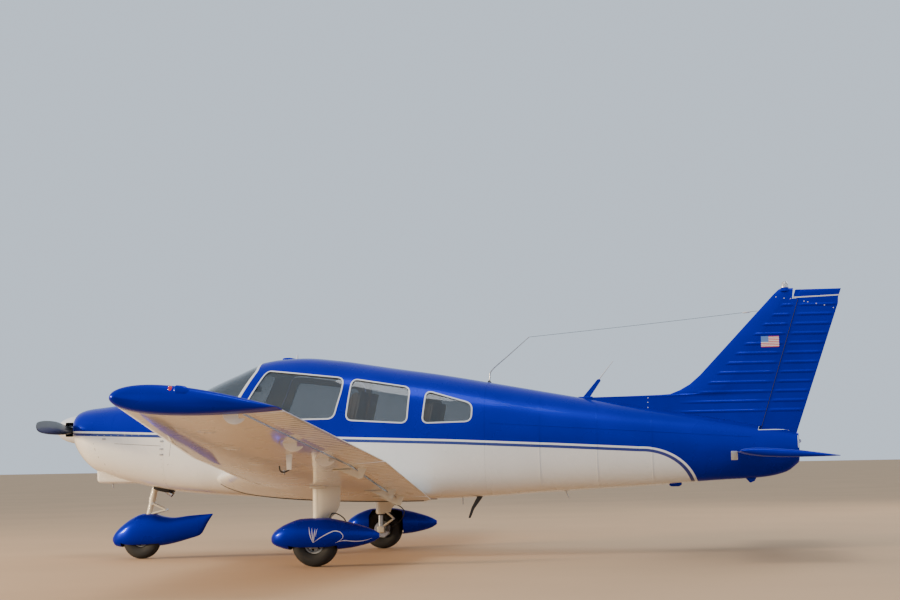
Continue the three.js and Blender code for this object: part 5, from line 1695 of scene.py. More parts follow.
# Frames behind the cabin: station, lowest and highest rivet
FRAMES = ((4560, 590, 1420), (5060, 615, 1330), (5540, 640, 1250), (6000, 665, 1180))
STRINGERS = (
    [(4130, 1400), (6300, 1105)], [(4130, 1180), (6400, 1020)],
    [(4130, 860), (6300, 850)], [(4130, 620), (6000, 700)],
)
CABIN_BANDS = ((4118, 600, 1500), (4082, 600, 1500), (1208, 680, 1430))
CABIN_ROWS = ([(2300, 1762), (4080, 1506)], [(1230, 1128), (1960, 1128)])
WINDOW_ROWS = {LEFT: [(2900, 1128), (4080, 1128)], RIGHT: [(2900, 1150), (3560, 1150)]}
BELLY_ROW, BACK_BAND = [(1230, 700), (4080, 690)], (3480, 720, 1110)
LAP_PROFILE = [(-3, -1.5), (-3, 0.7), (-1, 1.1), (3, 0.1), (3, -1.5)]


def add_hull_rivets():
    """Rivet rows on the fuselage, and the raised laps of the tail cone's skins"""
    lines = []
    for side, _ in SIDES:
        lines += [(band_line(*band), side) for band in (*FRAMES, *CABIN_BANDS)]
        rows = (*STRINGERS, *CABIN_ROWS, WINDOW_ROWS[side], BELLY_ROW)
        lines += [(long_line(row), side) for row in rows]
        lines.append((band_line(*BACK_BAND), side))
    places = hull_rivets(lines)
    made = domes(places, hull_normals(places), RIVET_RADIUS, RIVET_RISE, LIVERY)
    finish_piece(made, sharp=80, name="fuselage_rivets")
    seams = [(band_line(*band), side) for band in FRAMES[:3] for side in (LEFT, RIGHT)]
    seams += [(long_line(STRINGERS[1]), side) for side in (LEFT, RIGHT)]
    laps = []
    for line, side in seams:
        laps.append(hull_ribbon(evenly(on_hull(line, side), 30) + (14, 0, 0), LAP_PROFILE, LIVERY))
    finish_piece(merge("skin_laps", laps))


def wing_surface(y, station, upper=True):
    return (wing_upper if upper else wing_lower)(y, station)


def wing_normal(side, y, station, upper):
    """Outward direction of a wing's upper or lower skin"""
    way = 1 if upper else -1
    rise_s = (wing_surface(y, station + 2, upper) - wing_surface(y, station - 2, upper)) / 4
    rise_y = (wing_surface(y + 2, station, upper) - wing_surface(y - 2, station, upper)) / 4
    normal = np.array((-rise_s, -side * rise_y, 1.0)) * way
    return normal / np.linalg.norm(normal)


WING_PITCH = 58
RIB_ROWS, SPAR_HEADS = np.arange(760, 4980, 292), np.arange(700, 4960, WING_PITCH)
SPAR_PARTS = (0.075, 0.30, 0.62)
LEG_FOOT_HALF, LEG_FOOT_S = 90, (2700, 3040)


def wing_rivet_places(side, upper):
    """Station and y of the heads along ribs and spars, but for the walkway and the leg's foot"""
    places = []
    for y in RIB_ROWS:
        last = hinge_line(FLAP, y) - 125 if y < FLAP["outer"] else hinge_line(AILERON, y) - 110
        places += [(s, y) for s in np.arange(wing_row(y)[0] + 70, last, WING_PITCH)]
    for part in SPAR_PARTS:
        for y in SPAR_HEADS:
            front, _, back, _, _ = wing_row(y)
            places.append((front + (back - front) * part, y))

    def free(s, y):
        over_leg = not upper and abs(y - LEG_Y) < LEG_FOOT_HALF and LEG_FOOT_S[0] < s < LEG_FOOT_S[1]
        on_walk = upper and y < 1000 and side == RIGHT
        return not over_leg and not on_walk

    return [place for place in places if free(*place)]


def add_wing_rivets():
    for side, word in SIDES:
        spots, normals = [], []
        for upper in (True, False):
            for s, y in wing_rivet_places(side, upper):
                spots.append((s, side * y, wing_surface(y, s, upper)))
                normals.append(wing_normal(side, y, s, upper))
        made = domes(spots, normals, RIVET_RADIUS, RIVET_RISE, WHITE_PAINT)
        finish_piece(made, sharp=80, name=f"wing_{word}_rivets")


def wing_ribbon(side, path, profile, material, upper=True):
    """A strip along (station, y) points of a wing's surface"""
    path = evenly(np.array(path, float), 30)
    points = np.array([(s, side * y, wing_surface(y, s, upper)) for s, y in path])
    normals = np.array([wing_normal(side, y, s, upper) for s, y in path])
    return ribbon(points, normals, profile, False, material)


def beaded(side, surface, name, body):
    """Pressed beads that run from a moving surface's nose to its trailing edge"""
    parts = []
    for y in np.arange(surface["inner"] + 70, surface["outer"] - 40, CORRUGATION):
        start = hinge_line(surface, y) + 40
        back = wing_row(y)[2] - 26
        for upper in (True, False):
            parts.append(wing_ribbon(side, [(start, y), (back, y)], CORRUGATION_PROFILE, WHITE_PAINT, upper))
    finish_piece(merge(name, parts), body)


def add_wing_details():
    for side, word in SIDES:
        beaded(side, AILERON, f"aileron_{word}_beads", f"aileron_{word}")
        beaded(side, FLAP, f"flap_{word}_beads", f"flap_{word}")
        parts = [hinge_cover(side, y) for y in AILERON_HINGES]
        parts += [flap_bracket(side, y) for y in FLAP_BRACKETS]
        parts.append(tie_down(side))
        finish_piece(merge(f"wing_{word}_fittings", parts), sharp=40)
        arms = [flap_arm(side, y) for y in FLAP_BRACKETS]
        finish_piece(merge(f"flap_{word}_arms", arms), f"flap_{word}", sharp=40)
        finish_piece(root_seal(side), name=f"root_seal_{word}")
        plates(side, word)
        fuel_cap(side, word)
    walkway()
    pitot()


def hinge_cover(side, y):
    """The half-moon cover of an aileron hinge, proud of the wing below"""
    hinge = hinge_line(AILERON, y)
    front = hinge - wing_half(y, hinge) - NOSE_GAP - 2
    station = front - 24
    z = wing_lower(y, station) + 20
    outline = [(AXIS, -11), (74, -11), (80, -8), (82, -3), (82, 3), (80, 8), (74, 11), (AXIS, 11)]
    disc = turned(outline, (station, side * y, z), ACROSS, WHITE_PAINT, 48)
    ahead = box((2900, side * y - 200, 0), (front, side * y + 200, 3000), WHITE_PAINT)
    below = box((2950, side * y - 199, 1), (3400, side * y + 199, z - 44), WHITE_PAINT)
    return cross(disc, join(ahead, below))


def flap_axis(y):
    """Height of the flap's hinge below the wing"""
    return wing_lower(y, 3345) - FLAP_DROP


def flap_bracket(side, y):
    """Two plates with a foot on the wing and the hinge pin"""
    z = flap_axis(y)
    top = [(s, wing_lower(y, s) + 14) for s in (3150, 3290)]
    outline = [*top, (FLAP_AXIS + 18, z + 16), (FLAP_AXIS + 18, z - 14), (FLAP_AXIS - 16, z - 18)]
    spans = (between(side, y - 8, y - 4), between(side, y + 4, y + 8))
    plates = [prism(rounded(outline, 10, 5), *span, CREAM_PAINT) for span in spans]
    low, high = between(side, y - 24, y + 24)
    foot_z = top[0][1]
    foot = soft_box((3150, low, foot_z - 22), (3288, high, foot_z - 12), 3, CREAM_PAINT)
    pin = cross_bar(FLAP_AXIS, side * (y - 12), side * (y + 14), z, 7, STEEL, 16)
    return merge("bracket", [*plates, foot, pin])


def flap_arm(side, y):
    """The flap's own arm down to the hinge pin"""
    z = flap_axis(y)
    outline = [(s, wing_lower(y, s) + 16) for s in (3352, 3430)]
    outline += [(FLAP_AXIS + 16, z - 10), (FLAP_AXIS - 16, z - 10)]
    arm = prism(rounded(outline, 9, 5), *between(side, y + 16, y + 26), CREAM_PAINT)
    return round_edges(arm, 2, 2)


def tie_down(side):
    """The mooring ring under the wing"""
    s, y = TIE_DOWN
    z = wing_lower(y, s)
    post = bar((s, side * y, z + 10), (s, side * y, z - 14), 12, STEEL, sides=20)
    turns = np.linspace(0.4, 2 * math.pi + 0.2, 24)
    loop = rod([(s, side * (y + 13 * math.cos(t)), z - 21 + 13 * math.sin(t)) for t in turns], 4.5, STEEL, 10)
    return merge("tie_down", [post, loop])


def pitot():
    """The mast under the left wing with its bent tube"""
    y = LEFT * PITOT_Y
    z = wing_lower(PITOT_Y, 2990)
    outline = [(3004, z + 20), (3056, z + 20), (3046, z - 112), (3012, z - 112)]
    blade = round_edges(prism(rounded(outline, 8, 5), y - 6, y + 6, WHITE_PAINT), 3)
    path = [(3034, -106), (3012, -118), (2990, -126), (2968, -122), (2958, -102), (2956, -80)]
    tube = rod(curve([(s, y, z + drop) for s, drop in path], 6), 5.5, HOSE, 14)
    finish_piece(merge("pitot_mast", [blade, tube]), sharp=40)


def root_seal(side):
    """The dark strip along the joint below the wing root, found by a few steps from a first guess"""
    points = []
    for s in np.linspace(*ROOT_SEAL_S, 60):
        y = 420.0
        for _ in range(12):
            y = min(max(skin_reach((s, max(wing_lower(y, s), 540.0)), side) + 6, 380), 640)
        points.append((s, side * y, wing_lower(y, s)))
    points = evenly(np.array(points), 20)
    normals = np.array([wing_normal(side, abs(p[1]), p[0], False) for p in points])
    profile = [(-13, -2), (-11, 2.5), (0, 5), (11, 2.5), (13, -2)]
    return ribbon(points, normals, profile, False, SEAL_AND_GAP_SHADE)


def walkway():
    """The black grip strip at the root of the right wing"""
    rows = []
    stations = np.linspace(*WALKWAY_S, 60)
    for y in np.linspace(*WALKWAY_Y, 12):
        rows.append([(s, y, wing_surface(y, s) + 4.5) for s in stations])
    top = np.array(rows)
    low = top - (0, 0, 12)
    rings = np.concatenate([top, low[:, ::-1]], 1)
    finish_piece(loft("walkway", rings, GRIP))


def plates(side, word):
    """Round inspection covers under the wing"""
    parts = []
    disc = [(AXIS, -3), (62, -3), (64, -1), (64, 1), (61, 2.2), (AXIS, 2.6)]
    screw = [(AXIS, 0), (4.5, 0), (4, 4), (AXIS, 4.6)]
    for s, y in INSPECTION_COVERS:
        normal = wing_normal(side, y, s, False)
        centre = np.array((s, side * y, wing_lower(y, s)))
        parts.append(turned(disc, centre, normal, WHITE_PAINT, 40))
        helper = np.cross(normal, AFT)
        ahead = np.cross(helper, normal)
        for k in range(6):
            turn = math.pi * k / 3
            spot = centre + 54 * (math.cos(turn) * ahead + math.sin(turn) * helper)
            parts.append(turned(screw, spot, normal, STEEL, 8))
    finish_piece(merge(f"wing_{word}_covers", parts))


def fuel_cap(side, word):
    """The cap on top of a wing"""
    s, y = FUEL_CAP
    outline = [(AXIS, -3), (58, -3), (60, -1), (58, 2), (44, 3), (40, 7), (36, 9), (AXIS, 9)]
    centre = (s, side * y, wing_upper(y, s))
    cap = turned(outline, centre, wing_normal(side, y, s, True), ALUMINIUM, 40)
    finish_piece(cap, name=f"fuel_cap_{word}")


# Nose details

COWL_DOOR = [(700, 1160), (700, 1330), (1060, 1330), (1060, 1160)]
DOOR_CATCHES, CATCH_HEIGHT = (760, 880, 1000), 1172
LATCHES = ((625, 1104), (1178, 1072), (1174, 1003), (1174, 953))
COWL_LINES = (
    ((1264, 1055), (1251, 948), (1234, 859), (1213, 769), (1184, 690)),
    ((727, 1059), (971, 1043), (1170, 1030)),
    ((517, 1070), (536, 1006), (564, 942), (619, 873), (678, 812)),
)
SEAM_PROFILE = [(-2, -1), (-1.4, 0.5), (1.4, 0.5), (2, -1)]


def hull_patch(centre, width, height, rise, *materials, side=LEFT, rounding=6):
    """A thin plate with rounded corners that lies on the fuselage side"""
    corners = np.array(((-1, -1), (1, -1), (1, 1), (-1, 1))) * (width / 2, height / 2) + centre
    edge = on_hull(rounded(corners, rounding, 5), side)
    normals = hull_normals(edge)
    middle = edge.mean(0)
    inner = middle + (edge - middle) * 0.9
    rings = np.array([edge - 3 * normals, edge + 0.6 * rise * normals, inner + rise * normals])
    return loft("patch", rings, *materials)


def seam_frame(outline, side, width=3.0, rise=0.9, material=None):
    """A low bead round a door or hatch"""
    line = evenly(np.array(outline, float), 14, closed=True)
    profile = [(-width, -1), (-width * 0.5, rise), (width * 0.5, rise), (width, -1)]
    return hull_ribbon(on_hull(line, side), profile, material or LIVERY, True)


def add_nose_details():
    """Latches, seams and screws of the cowl, and what shows in its openings"""
    parts = []
    for side in (LEFT, RIGHT):
        parts += [hull_patch(place, 34, 15, 4, STEEL, side=side, rounding=5) for place in LATCHES]
        parts.append(seam_frame(rounded(COWL_DOOR, 24, 6), side, 2.0, 0.8))
        for s in DOOR_CATCHES:
            parts.append(hull_patch((s, CATCH_HEIGHT), 14, 8, 1.6, BLUE_PAINT, side=side, rounding=3))
    finish_piece(merge("cowl_latches", parts), sharp=40)
    lines = []
    for side in (LEFT, RIGHT):
        for line in COWL_LINES:
            lines.append(hull_ribbon(evenly(on_hull(line, side), 12), SEAM_PROFILE, SEAL_AND_GAP_SHADE))
    finish_piece(merge("cowl_seams", lines))
    row = long_line([(430, COWL_SEAM - 16), (1160, COWL_SEAM - 16)])
    heads = [(line, side) for line in (band_line(1172, 720, 1400), row) for side in (LEFT, RIGHT)]
    places = hull_rivets(heads, 66)
    made = domes(places, hull_normals(places), 4.0, 1.4, STEEL)
    finish_piece(made, sharp=80, name="cowl_screws")
    add_inlets()
    add_exhaust()


def add_inlets():
    """Baffles and engine fins behind the cooling inlets, and the mesh and the light in the chin's mouth"""
    parts = []
    for side in (LEFT, RIGHT):
        y = side * INLET_Y
        parts.append(box((420, y - 90, 1120), (424, y + 90, 1300), CAST))
        for z in range(1150, 1150 + 9 * 15, 15):
            parts.append(soft_box((372, y - 84, z), (420, y + 84, z + 4), 1.5, CAST, steps=1))
    parts += [box((500, -165, z), (506, 165, z + 4), CAST) for z in range(735, 735 + 9 * 12, 12)]
    parts += [box((497, y, 732), (502, y + 4, 838), CAST) for y in range(-160, -160 + 17 * 20, 20)]
    lamp = [(AXIS, 0), (58, 0), (62, 6), (62, 40), (AXIS, 48)]
    parts.append(turned(lamp, (474, 0, 780), AFT, CLEAR_LAMP, 40))
    finish_piece(merge("inlet_insides", parts), sharp=40)


EXHAUST_END = (1175, -175, 585)


def add_exhaust():
    """The stub with its shield under the left of the firewall, and a drain"""
    pipe = turned([(22, 0), (27, 2), (27, 96), (22, 96)], EXHAUST_END, (-70, 0, 55), STEEL, 40)
    rows = [(1010, 640, 690, 60), (1060, 622, 690, 74), (1160, 606, 690, 70), (1185, 612, 690, 52)]
    shield = pod(rows, -175, 10, BLACK_AND_SHADE, power=4, count=40)
    cut(shield, bar(EXHAUST_END, (1105, -175, 640), 31, BLACK_AND_SHADE, sides=32))
    drain = rod([(560, -60, 700), (566, -60, 660), (572, -60, 652)], 6, STEEL, 12)
    finish_piece(merge("exhaust_pipe", [pipe, shield, drain]), sharp=40)


# Doors, lamps, antennas and small fittings

DOOR_HINGE = 1994


def add_door_details():
    """Handles, seals and hinges of the cabin door and the baggage door"""
    handle = soft_box((2716, 546, 1122), (2804, 563, 1140), 7, ALUMINIUM)
    outline = [(AXIS, 0), (15, 0), (15, 8), (12, 11), (AXIS, 11)]
    boss = turned(outline, (2722, 543, 1131), ACROSS, ALUMINIUM, 32)
    upper = hull_patch((2330, 1652), 70, 18, 5, ALUMINIUM, side=RIGHT, rounding=7)
    finish_piece(merge("cabin_door_handle", [handle, boss, upper]), "cabin_door", sharp=40)
    for name, outline, rounding in (("cabin_door", DOOR, 52), ("baggage_door", BAGGAGE_DOOR, 42)):
        frame_line = seam_frame(rounded(resized(outline, DOOR_GAP + 5), rounding + 4, 8), RIGHT, 4, 2.0, SEAL_AND_GAP_SHADE)
        finish_piece(frame_line, name=f"{name}_seal")
    latch = hull_patch((4000, 950), 44, 30, 4, ALUMINIUM, side=RIGHT, rounding=6)
    finish_piece(latch, "baggage_door", name="baggage_latch")
    hinges = [bar((s, 524, 774), (s + 60, 524, 774), 5, STEEL, sides=12) for s in (3640, 3930)]
    for z in (1040, 1230):
        ends = [(DOOR_HINGE, skin_reach((DOOR_HINGE, end), RIGHT) + 2, end) for end in (z, z + 50)]
        hinges.append(bar(*ends, 6, STEEL, sides=12))
    finish_piece(merge("door_hinges", hinges))


MAST_TIP = (4465, 0, 1957)


def add_antennas():
    """The mast with the wire to the fin, the blade behind it, and what stands on the roof and belly"""
    outline = [(AXIS, 0), (22, 0), (20, 5), (12, 14), (9, 20), (AXIS, 20)]
    foot = turned(outline, (4096, 0, 1552), UP, BLACK_PAINT, 32)
    path = [(4096, 0, 1560), (4101, 0, 1600), (4122, 0, 1666), (4290, 0, 1808), MAST_TIP]
    whip = rod(curve(path, 6), np.interp(np.linspace(0, 1, 25), [0, 0.35, 1], [8, 6, 3.2]), STEEL, 12)
    finish_piece(merge("whip_antenna", [foot, whip]), sharp=50)
    wire = rod(curve([MAST_TIP, (5480, 0, 2040), (6410, 0, 2124), (6512, 0, 2133)], 8), 1.6, HOSE, 8)
    path = [(6380, 0, 2121.5), (6390, 0, 2122), (6440, 0, 2127), (6450, 0, 2128)]
    insulator = rod(path, [3, 8, 8, 3], TRIM_WHITE, 16)
    finish_piece(merge("antenna_wire", [wire, insulator]), sharp=50)
    outline = rounded([(4922, 1380), (4990, 1380), (5106, 1548), (5096, 1562), (5076, 1560)], 9, 5)
    blade = round_edges(prism(outline, -7, 7, BLUE_PAINT), 4.5)
    tip = rod([(5084, 0, 1553), (5150, 0, 1636), (5219, 0, 1720)], [5.5, 4.5, 3], TRIM_WHITE, 12)
    base = soft_box((4900, -20, 1380), (5030, 20, 1406), 5, BLUE_PAINT)
    finish_piece(merge("blade_antenna", [blade, tip, base]), sharp=40)
    outline = rounded([(3985, 540), (4040, 540), (3950, 420), (3915, 338), (3895, 338), (3925, 430)], 8, 5)
    belly = [round_edges(prism(outline, -106, -94, BLACK_PAINT), 3)]
    belly.append(bar((3849, -100, 545), (3849, -100, 459), (6, 4), STEEL, 16))
    belly.append(rod([(4768, 0, 590), (4774, 0, 548), (4796, 0, 500)], [7, 6, 4], TRIM_WHITE, 14))
    belly.append(turned([(AXIS, 0), (26, 0), (24, 6), (AXIS, 9)], (4768, 0, 572), DOWN, TRIM_WHITE, 32))
    finish_piece(merge("belly_antennas", belly), sharp=40)
    rows = [(2180, 1795, 1822, 20), (2200, 1795, 1826, 32), (2240, 1795, 1827, 34), (2290, 1795, 1818, 18)]
    scoop = pod(rows, 0, 12, BLUE_PAINT, power=3, count=32)
    outline = [(AXIS, 0), (10, 0), (9, 6), (7, 40), (5, 46), (AXIS, 46)]
    stub = turned(outline, (2315, 0, 1806), UP, TRIM_WHITE, 24)
    finish_piece(merge("roof_fittings", [scoop, stub]), sharp=50)


BEACON, TIP_LAMP, TIP_LAMP_Y = 6758, 2766, 5313


def add_lamps():
    """The beacon, the tail lamp, and the lamp and flash light of each wing tip"""
    outline = [(AXIS, 0), (42, 0), (40, 6), (34, 26), (33, 32), (AXIS, 32)]
    pedestal = turned(outline, (BEACON, 0, 2304), UP, BLUE_PAINT, 48)
    outline = [(AXIS, 0), (30, 0), (31, 4), (30, 26), (26, 42), (17, 52), (8, 55.5), (AXIS, 56)]
    dome = turned(outline, (BEACON, 0, 2336.6), UP, CLEAR_LAMP, 48)
    band = turned([(29, -2), (35, -2), (35, 5), (29, 5)], (BEACON, 0, 2336.6), UP, ALUMINIUM, 48)
    tube = turned([(AXIS, 0), (9, 0), (9, 32), (AXIS, 36)], (BEACON, 0, 2342), UP, TRIM_WHITE, 24)
    finish_piece(pedestal, name="beacon_foot")
    finish_piece(merge("beacon_lens", [dome, band, tube]), nodes=["beacon"], sharp=40)
    outline = [(AXIS, 0), (20, 0), (20, 10), (14, 26), (AXIS, 30)]
    tail = turned(outline, (TAIL_END - 8, 0, 975), AFT, CLEAR_LAMP, 32)
    finish_piece(tail, sharp=50, name="tail_lamp")
    for side, word in SIDES:
        colour = RED_LAMP if side == LEFT else GREEN_LAMP
        y = side * TIP_LAMP_Y
        foot = turned([(AXIS, 0), (13, 0), (15, 8), (AXIS, 9)], (TIP_LAMP, y, 1296), UP, ALUMINIUM, 32)
        outline = [(AXIS, 0), (15, 0), (16, 10), (14, 26), (7, 34), (AXIS, 35)]
        lens = turned(outline, (TIP_LAMP, y, 1304), UP, colour, 32)
        rows = [(2786, 1270, 1318, 10), (2802, 1266, 1342, 19), (2860, 1262, 1334, 19), (2906, 1262, 1300, 6)]
        flash = pod(rows, y, 14, BLUE_PAINT, power=2.4, count=28)
        finish_piece(merge(f"wingtip_lamp_{word}", [foot, lens, flash]), sharp=50)


DATA_PLATE = (6268, 855)
HATCH_HEADS = ((5524, 1381), (5521, 1341), (5520, 1296))


def add_tail_details():
    """Strips at the tail's end, the skid, the blank data plate, the fin's rivets and the belly's bump"""
    band = evenly(on_hull([(TAIL_END - 9, z) for z in np.linspace(915, 1020, 20)], LEFT), 8)
    strips = [hull_ribbon(band * (1, way, 1), strip_profile(9, 1.6), TRIM_WHITE) for way in (1, -1)]
    finish_piece(merge("tail_end_strips", strips), sharp=50)
    outline = rounded([(6330, 690), (6470, 690), (6440, 628), (6400, 612)], 10, 5)
    finish_piece(round_edges(prism(outline, -5, 5, BLUE_PAINT), 3), sharp=40, name="tail_skid")
    plate = hull_patch(DATA_PLATE, 58, 79, 2, ALUMINIUM, side=LEFT, rounding=4)
    screws = [(DATA_PLATE[0] + a, DATA_PLATE[1] + b) for a in (-22, 22) for b in (-32, 32)]
    heads = on_hull(screws, LEFT) + (0, -2, 0)
    dots = domes(heads, hull_normals(heads), 3, 1.2, STEEL)
    finish_piece(merge("data_plate", [plate, dots]), sharp=50)

    def on_fin(s, z, side):
        half = fin_half(z, s, float(linear(FIN, z, 1)), hinge_station(z) - FIN_REACH)
        return (s, side * (float(half) + 0.2), z)

    places, normals = [], []
    for height in np.arange(1190, 2230, 44):
        for side in (LEFT, RIGHT):
            for ahead in (24, 48):
                places.append(on_fin(hinge_station(height) - ahead, height, side))
                normals.append((0, side, 0))
    made = domes(places, normals, RIVET_RADIUS, RIVET_RISE + 1.0, BLUE_PAINT)
    finish_piece(made, sharp=80, name="fin_rivets")
    heads = [on_fin(s, z, side) for side in (LEFT, RIGHT) for s, z in (*FIN_HEADS, *HATCH_HEADS)]
    bright = domes(heads, [(0, math.copysign(1, y), 0) for _, y, _ in heads], 5.5, 2.0, TRIM_WHITE)
    finish_piece(bright, sharp=80, name="fin_bright_heads")
    rows = [(5690, 600, 630, 12), (5710, 590, 640, 26), (5770, 590, 640, 26), (5800, 604, 632, 10)]
    finish_piece(pod(rows, 0, 12, BLUE_PAINT, count=28), sharp=50, name="belly_bump")


# Cabin inside

PANEL_FACE, PANEL_LOW, PANEL_TOP = 1930, 1090, 1388
DIAL_FACE = PANEL_FACE + 14
# Dials: Y, height and radius
DIALS = (
    *((y, z, 40) for y in (-350, -258, -166) for z in (1322, 1232)),
    (200, 1330, 28), (290, 1330, 28), (380, 1325, 28),
    *((y, 1250, 20) for y in (170, 225, 280, 335)),
)
# Radios: height of the middle, and height
RADIOS = ((1352, 46), (1302, 46), (1252, 46), (1205, 40))
LINING_GAP, CABIN_FLOOR, YOKE_Y, YOKE_Z = 36, 802, 262, 1190
FRONT_BASE = [(2345, 975), (2345, 1040), (2400, 1052), (2770, 1034), (2838, 1000), (2838, 965)]
FRONT_BACK = [(2822, 1062), (2862, 1040), (2972, 1480), (2955, 1490), (2918, 1486)]
REAR_BASE = [(3075, 955), (3075, 1018), (3120, 1026), (3450, 1010), (3515, 985), (3515, 945)]
REAR_BACK = [(3500, 1040), (3535, 1015), (3618, 1372), (3604, 1382), (3570, 1380)]
FRONT_Y, REAR_Y = (46, 436), (0, 405)
VOXEL, PRESSURE, SWELL = 0.009, 4.0, 0.024
SIM_FRAMES = 20


def inside_slab(s0, s1, z0, z1, *materials):
    """A slice of the cabin's inside, clear of its walls"""
    slab = fuselage("slab", s0, s1, -LINING_GAP, *materials, step=15, count=72)
    return cross(slab, box((s0 - 5, -BIG, z0), (s1 + 5, BIG, z1), *materials))


def dial(y, z, radius):
    """A round instrument: bezel, dark face, ticks and a hand"""
    bezel = [(radius - 5, -6), (radius, -5), (radius + 1, 4), (radius - 3, 7), (radius - 6, 5)]
    plate = [(AXIS, 0), (radius - 4, 0), (radius - 4, 3), (AXIS, 3)]
    centre = (DIAL_FACE, y, z)
    parts = [turned(bezel, centre, AFT, BLACK_PAINT, 28), turned(plate, centre, AFT, BLACK_AND_SHADE, 28)]

    def stroke(ahead, turn, start, end, widths, sides):
        middle, out = np.array((DIAL_FACE + ahead, y, z)), np.array((0, math.cos(turn), math.sin(turn)))
        path = [middle + out * radius * start, middle + out * radius * end]
        parts.append(rod(path, widths, TRIM_WHITE, sides))

    for k in range(12):
        stroke(4, math.pi * k / 6, 0.66, 0.84, 1.2, 4)
    stroke(5, 0.7 + y * 0.01 + z * 0.02, -0.2, 0.62, [2.4, 0.9], 6)
    return parts


def knob(s, y, z, radius, depth, material):
    """A turned knob on the panel"""
    outline = [(AXIS, 0), (radius, 0), (radius, depth - 3), (radius - 2, depth), (AXIS, depth)]
    return turned(outline, (s, y, z), AFT, material, 16)


def radio(z, height):
    """A unit of the radio stack with its window, knobs and buttons"""
    face = DIAL_FACE
    parts = [soft_box((face, -82, z - height / 2 + 1), (face + 12, 82, z + height / 2 - 1), 2.5, BLACK_PAINT)]
    parts.append(
        soft_box((face + 11, -46, z - height * 0.2), (face + 14, 46, z + height * 0.3), 1.2, BLACK_AND_SHADE, steps=1)
    )
    parts += [knob(face + 12, way * 66, z, 8.5, 14, STEEL) for way in (-1, 1)]
    low, high = z - height * 0.42, z - height * 0.28
    for y in range(-44, -44 + 5 * 18, 18):
        parts.append(soft_box((face + 11, y, low), (face + 15, y + 12, high), 1, TRIM_WHITE, steps=1))
    return parts


def add_panel():
    """The board with its hood, dials, radios, switches and engine knobs"""
    board = inside_slab(PANEL_FACE - 12, PANEL_FACE + 12, PANEL_LOW, PANEL_TOP, PANEL_BLACK)
    hood = inside_slab(1765, 1962, PANEL_TOP - 2, PANEL_TOP + 13, PANEL_BLACK)
    lip = rod([(1962, y, PANEL_TOP + 5) for y in np.linspace(-455, 455, 30)], 10, PANEL_BLACK, 12)
    pedestal = soft_box((1830, -82, 812), (1925, 82, PANEL_LOW + 10), 12, PANEL_BLACK)
    parts = [board, hood, lip, pedestal]
    for place in DIALS:
        parts += dial(*place)
    for place in RADIOS:
        parts += radio(*place)
    for y in range(-140, -140 + 8 * 40, 40):
        parts.append(
            soft_box((PANEL_FACE + 10, y - 8, 1116), (PANEL_FACE + 24, y + 8, 1142), 3, TRIM_WHITE, steps=2)
        )
    for y, material in ((-28, BLACK_PAINT), (0, RED_LAMP), (28, BLUE_PAINT)):
        parts.append(rod([(PANEL_FACE + 8, y, 1170), (PANEL_FACE + 70, y, 1164)], 4, STEEL, 10))
        parts.append(knob(PANEL_FACE + 68, y, 1163, 13, 22, material))
    finish_piece(merge("instrument_board", parts), nodes=["instrument_panel"], sharp=40)


# A control wheel's horn: station, distance from its middle, and height
HORN_PATH = ((2076, 20, 1188), (2077, 80, 1180), (2078, 122, 1200), (2080, 130, 1240), (2076, 118, 1280))


def add_controls():
    """Control wheels, pedals and the compass"""
    for side, word in SIDES:
        y = side * YOKE_Y
        shaft = bar((PANEL_FACE, y, YOKE_Z), (2070, y, YOKE_Z), 11, STEEL, sides=20)
        boss = soft_box((2062, y - 34, 1168), (2090, y + 34, 1212), 9, BLACK_PAINT)
        horns = []
        for way in (-1, 1):
            path = [(s, y + way * out, z) for s, out, z in HORN_PATH]
            horns.append(rod(curve(path, 8), 11, BLACK_PAINT, 14))
        finish_piece(merge(f"control_wheel_{word}", [shaft, boss, *horns]), sharp=50)
        places = (y - 45, y + 45)
        pedals = [soft_box((1690, p - 30, 850), (1704, p + 30, 930), 6, STEEL) for p in places]
        pedals += [rod([(1697, p, 806), (1697, p, 856)], 7, STEEL, 12) for p in places]
        finish_piece(merge(f"pedals_{word}", pedals), sharp=50)
    compass = [soft_box((1905, -34, 1518), (1968, 34, 1572), 14, BLACK_PAINT)]
    compass.append(rod([(1930, 0, 1570), (1936, 0, 1622)], 5, STEEL, 12))
    compass.append(turned([(AXIS, 0), (24, 0), (24, 5), (AXIS, 8)], (1966, 0, 1545), AFT, CLEAR_LAMP, 28))
    finish_piece(merge("compass", compass), sharp=50)


def pad_blank(name, outline, y0, y1, material):
    """A cushion's starting block, a little smaller than the finished cushion, in an even mesh"""
    pad = prism(rounded(outline, 26, 6), y0 + 12, y1 - 12, material)
    round_edges(pad, 16, 3)
    pad.name = name
    change = pad.modifiers.new("remesh", "REMESH")
    change.mode, change.voxel_size = "VOXEL", VOXEL
    apply_modifiers(pad)
    return pad


def points_of(mesh):
    """The mesh's vertices as rows"""
    flat = np.empty(len(mesh.vertices) * 3)
    mesh.vertices.foreach_get("co", flat)
    return flat.reshape(-1, 3)


def swell(pads):
    """Fills the cushions by cloth simulation and keeps each point within SWELL of its start"""
    for pad in pads:
        settings = pad.modifiers.new("cloth", "CLOTH").settings
        settings.use_pressure, settings.uniform_pressure_force = True, PRESSURE
        settings.effector_weights.gravity = 0
    for turn in range(1, SIM_FRAMES + 1):
        bpy.context.scene.frame_set(turn)
    depsgraph = bpy.context.evaluated_depsgraph_get()
    for pad in pads:
        start = points_of(pad.data)
        move = points_of(pad.evaluated_get(depsgraph).data) - start
        length = np.maximum(np.linalg.norm(move, axis=1), 1e-9)[:, None]
        place = start + move / length * SWELL * np.tanh(length / SWELL)
        pad.modifiers.clear()
        pad.data.vertices.foreach_set("co", place.ravel())
    bpy.context.scene.frame_set(1)
    for pad in pads:
        pad.modifiers.new("finer", "SUBSURF").levels = 1
        apply_modifiers(pad)


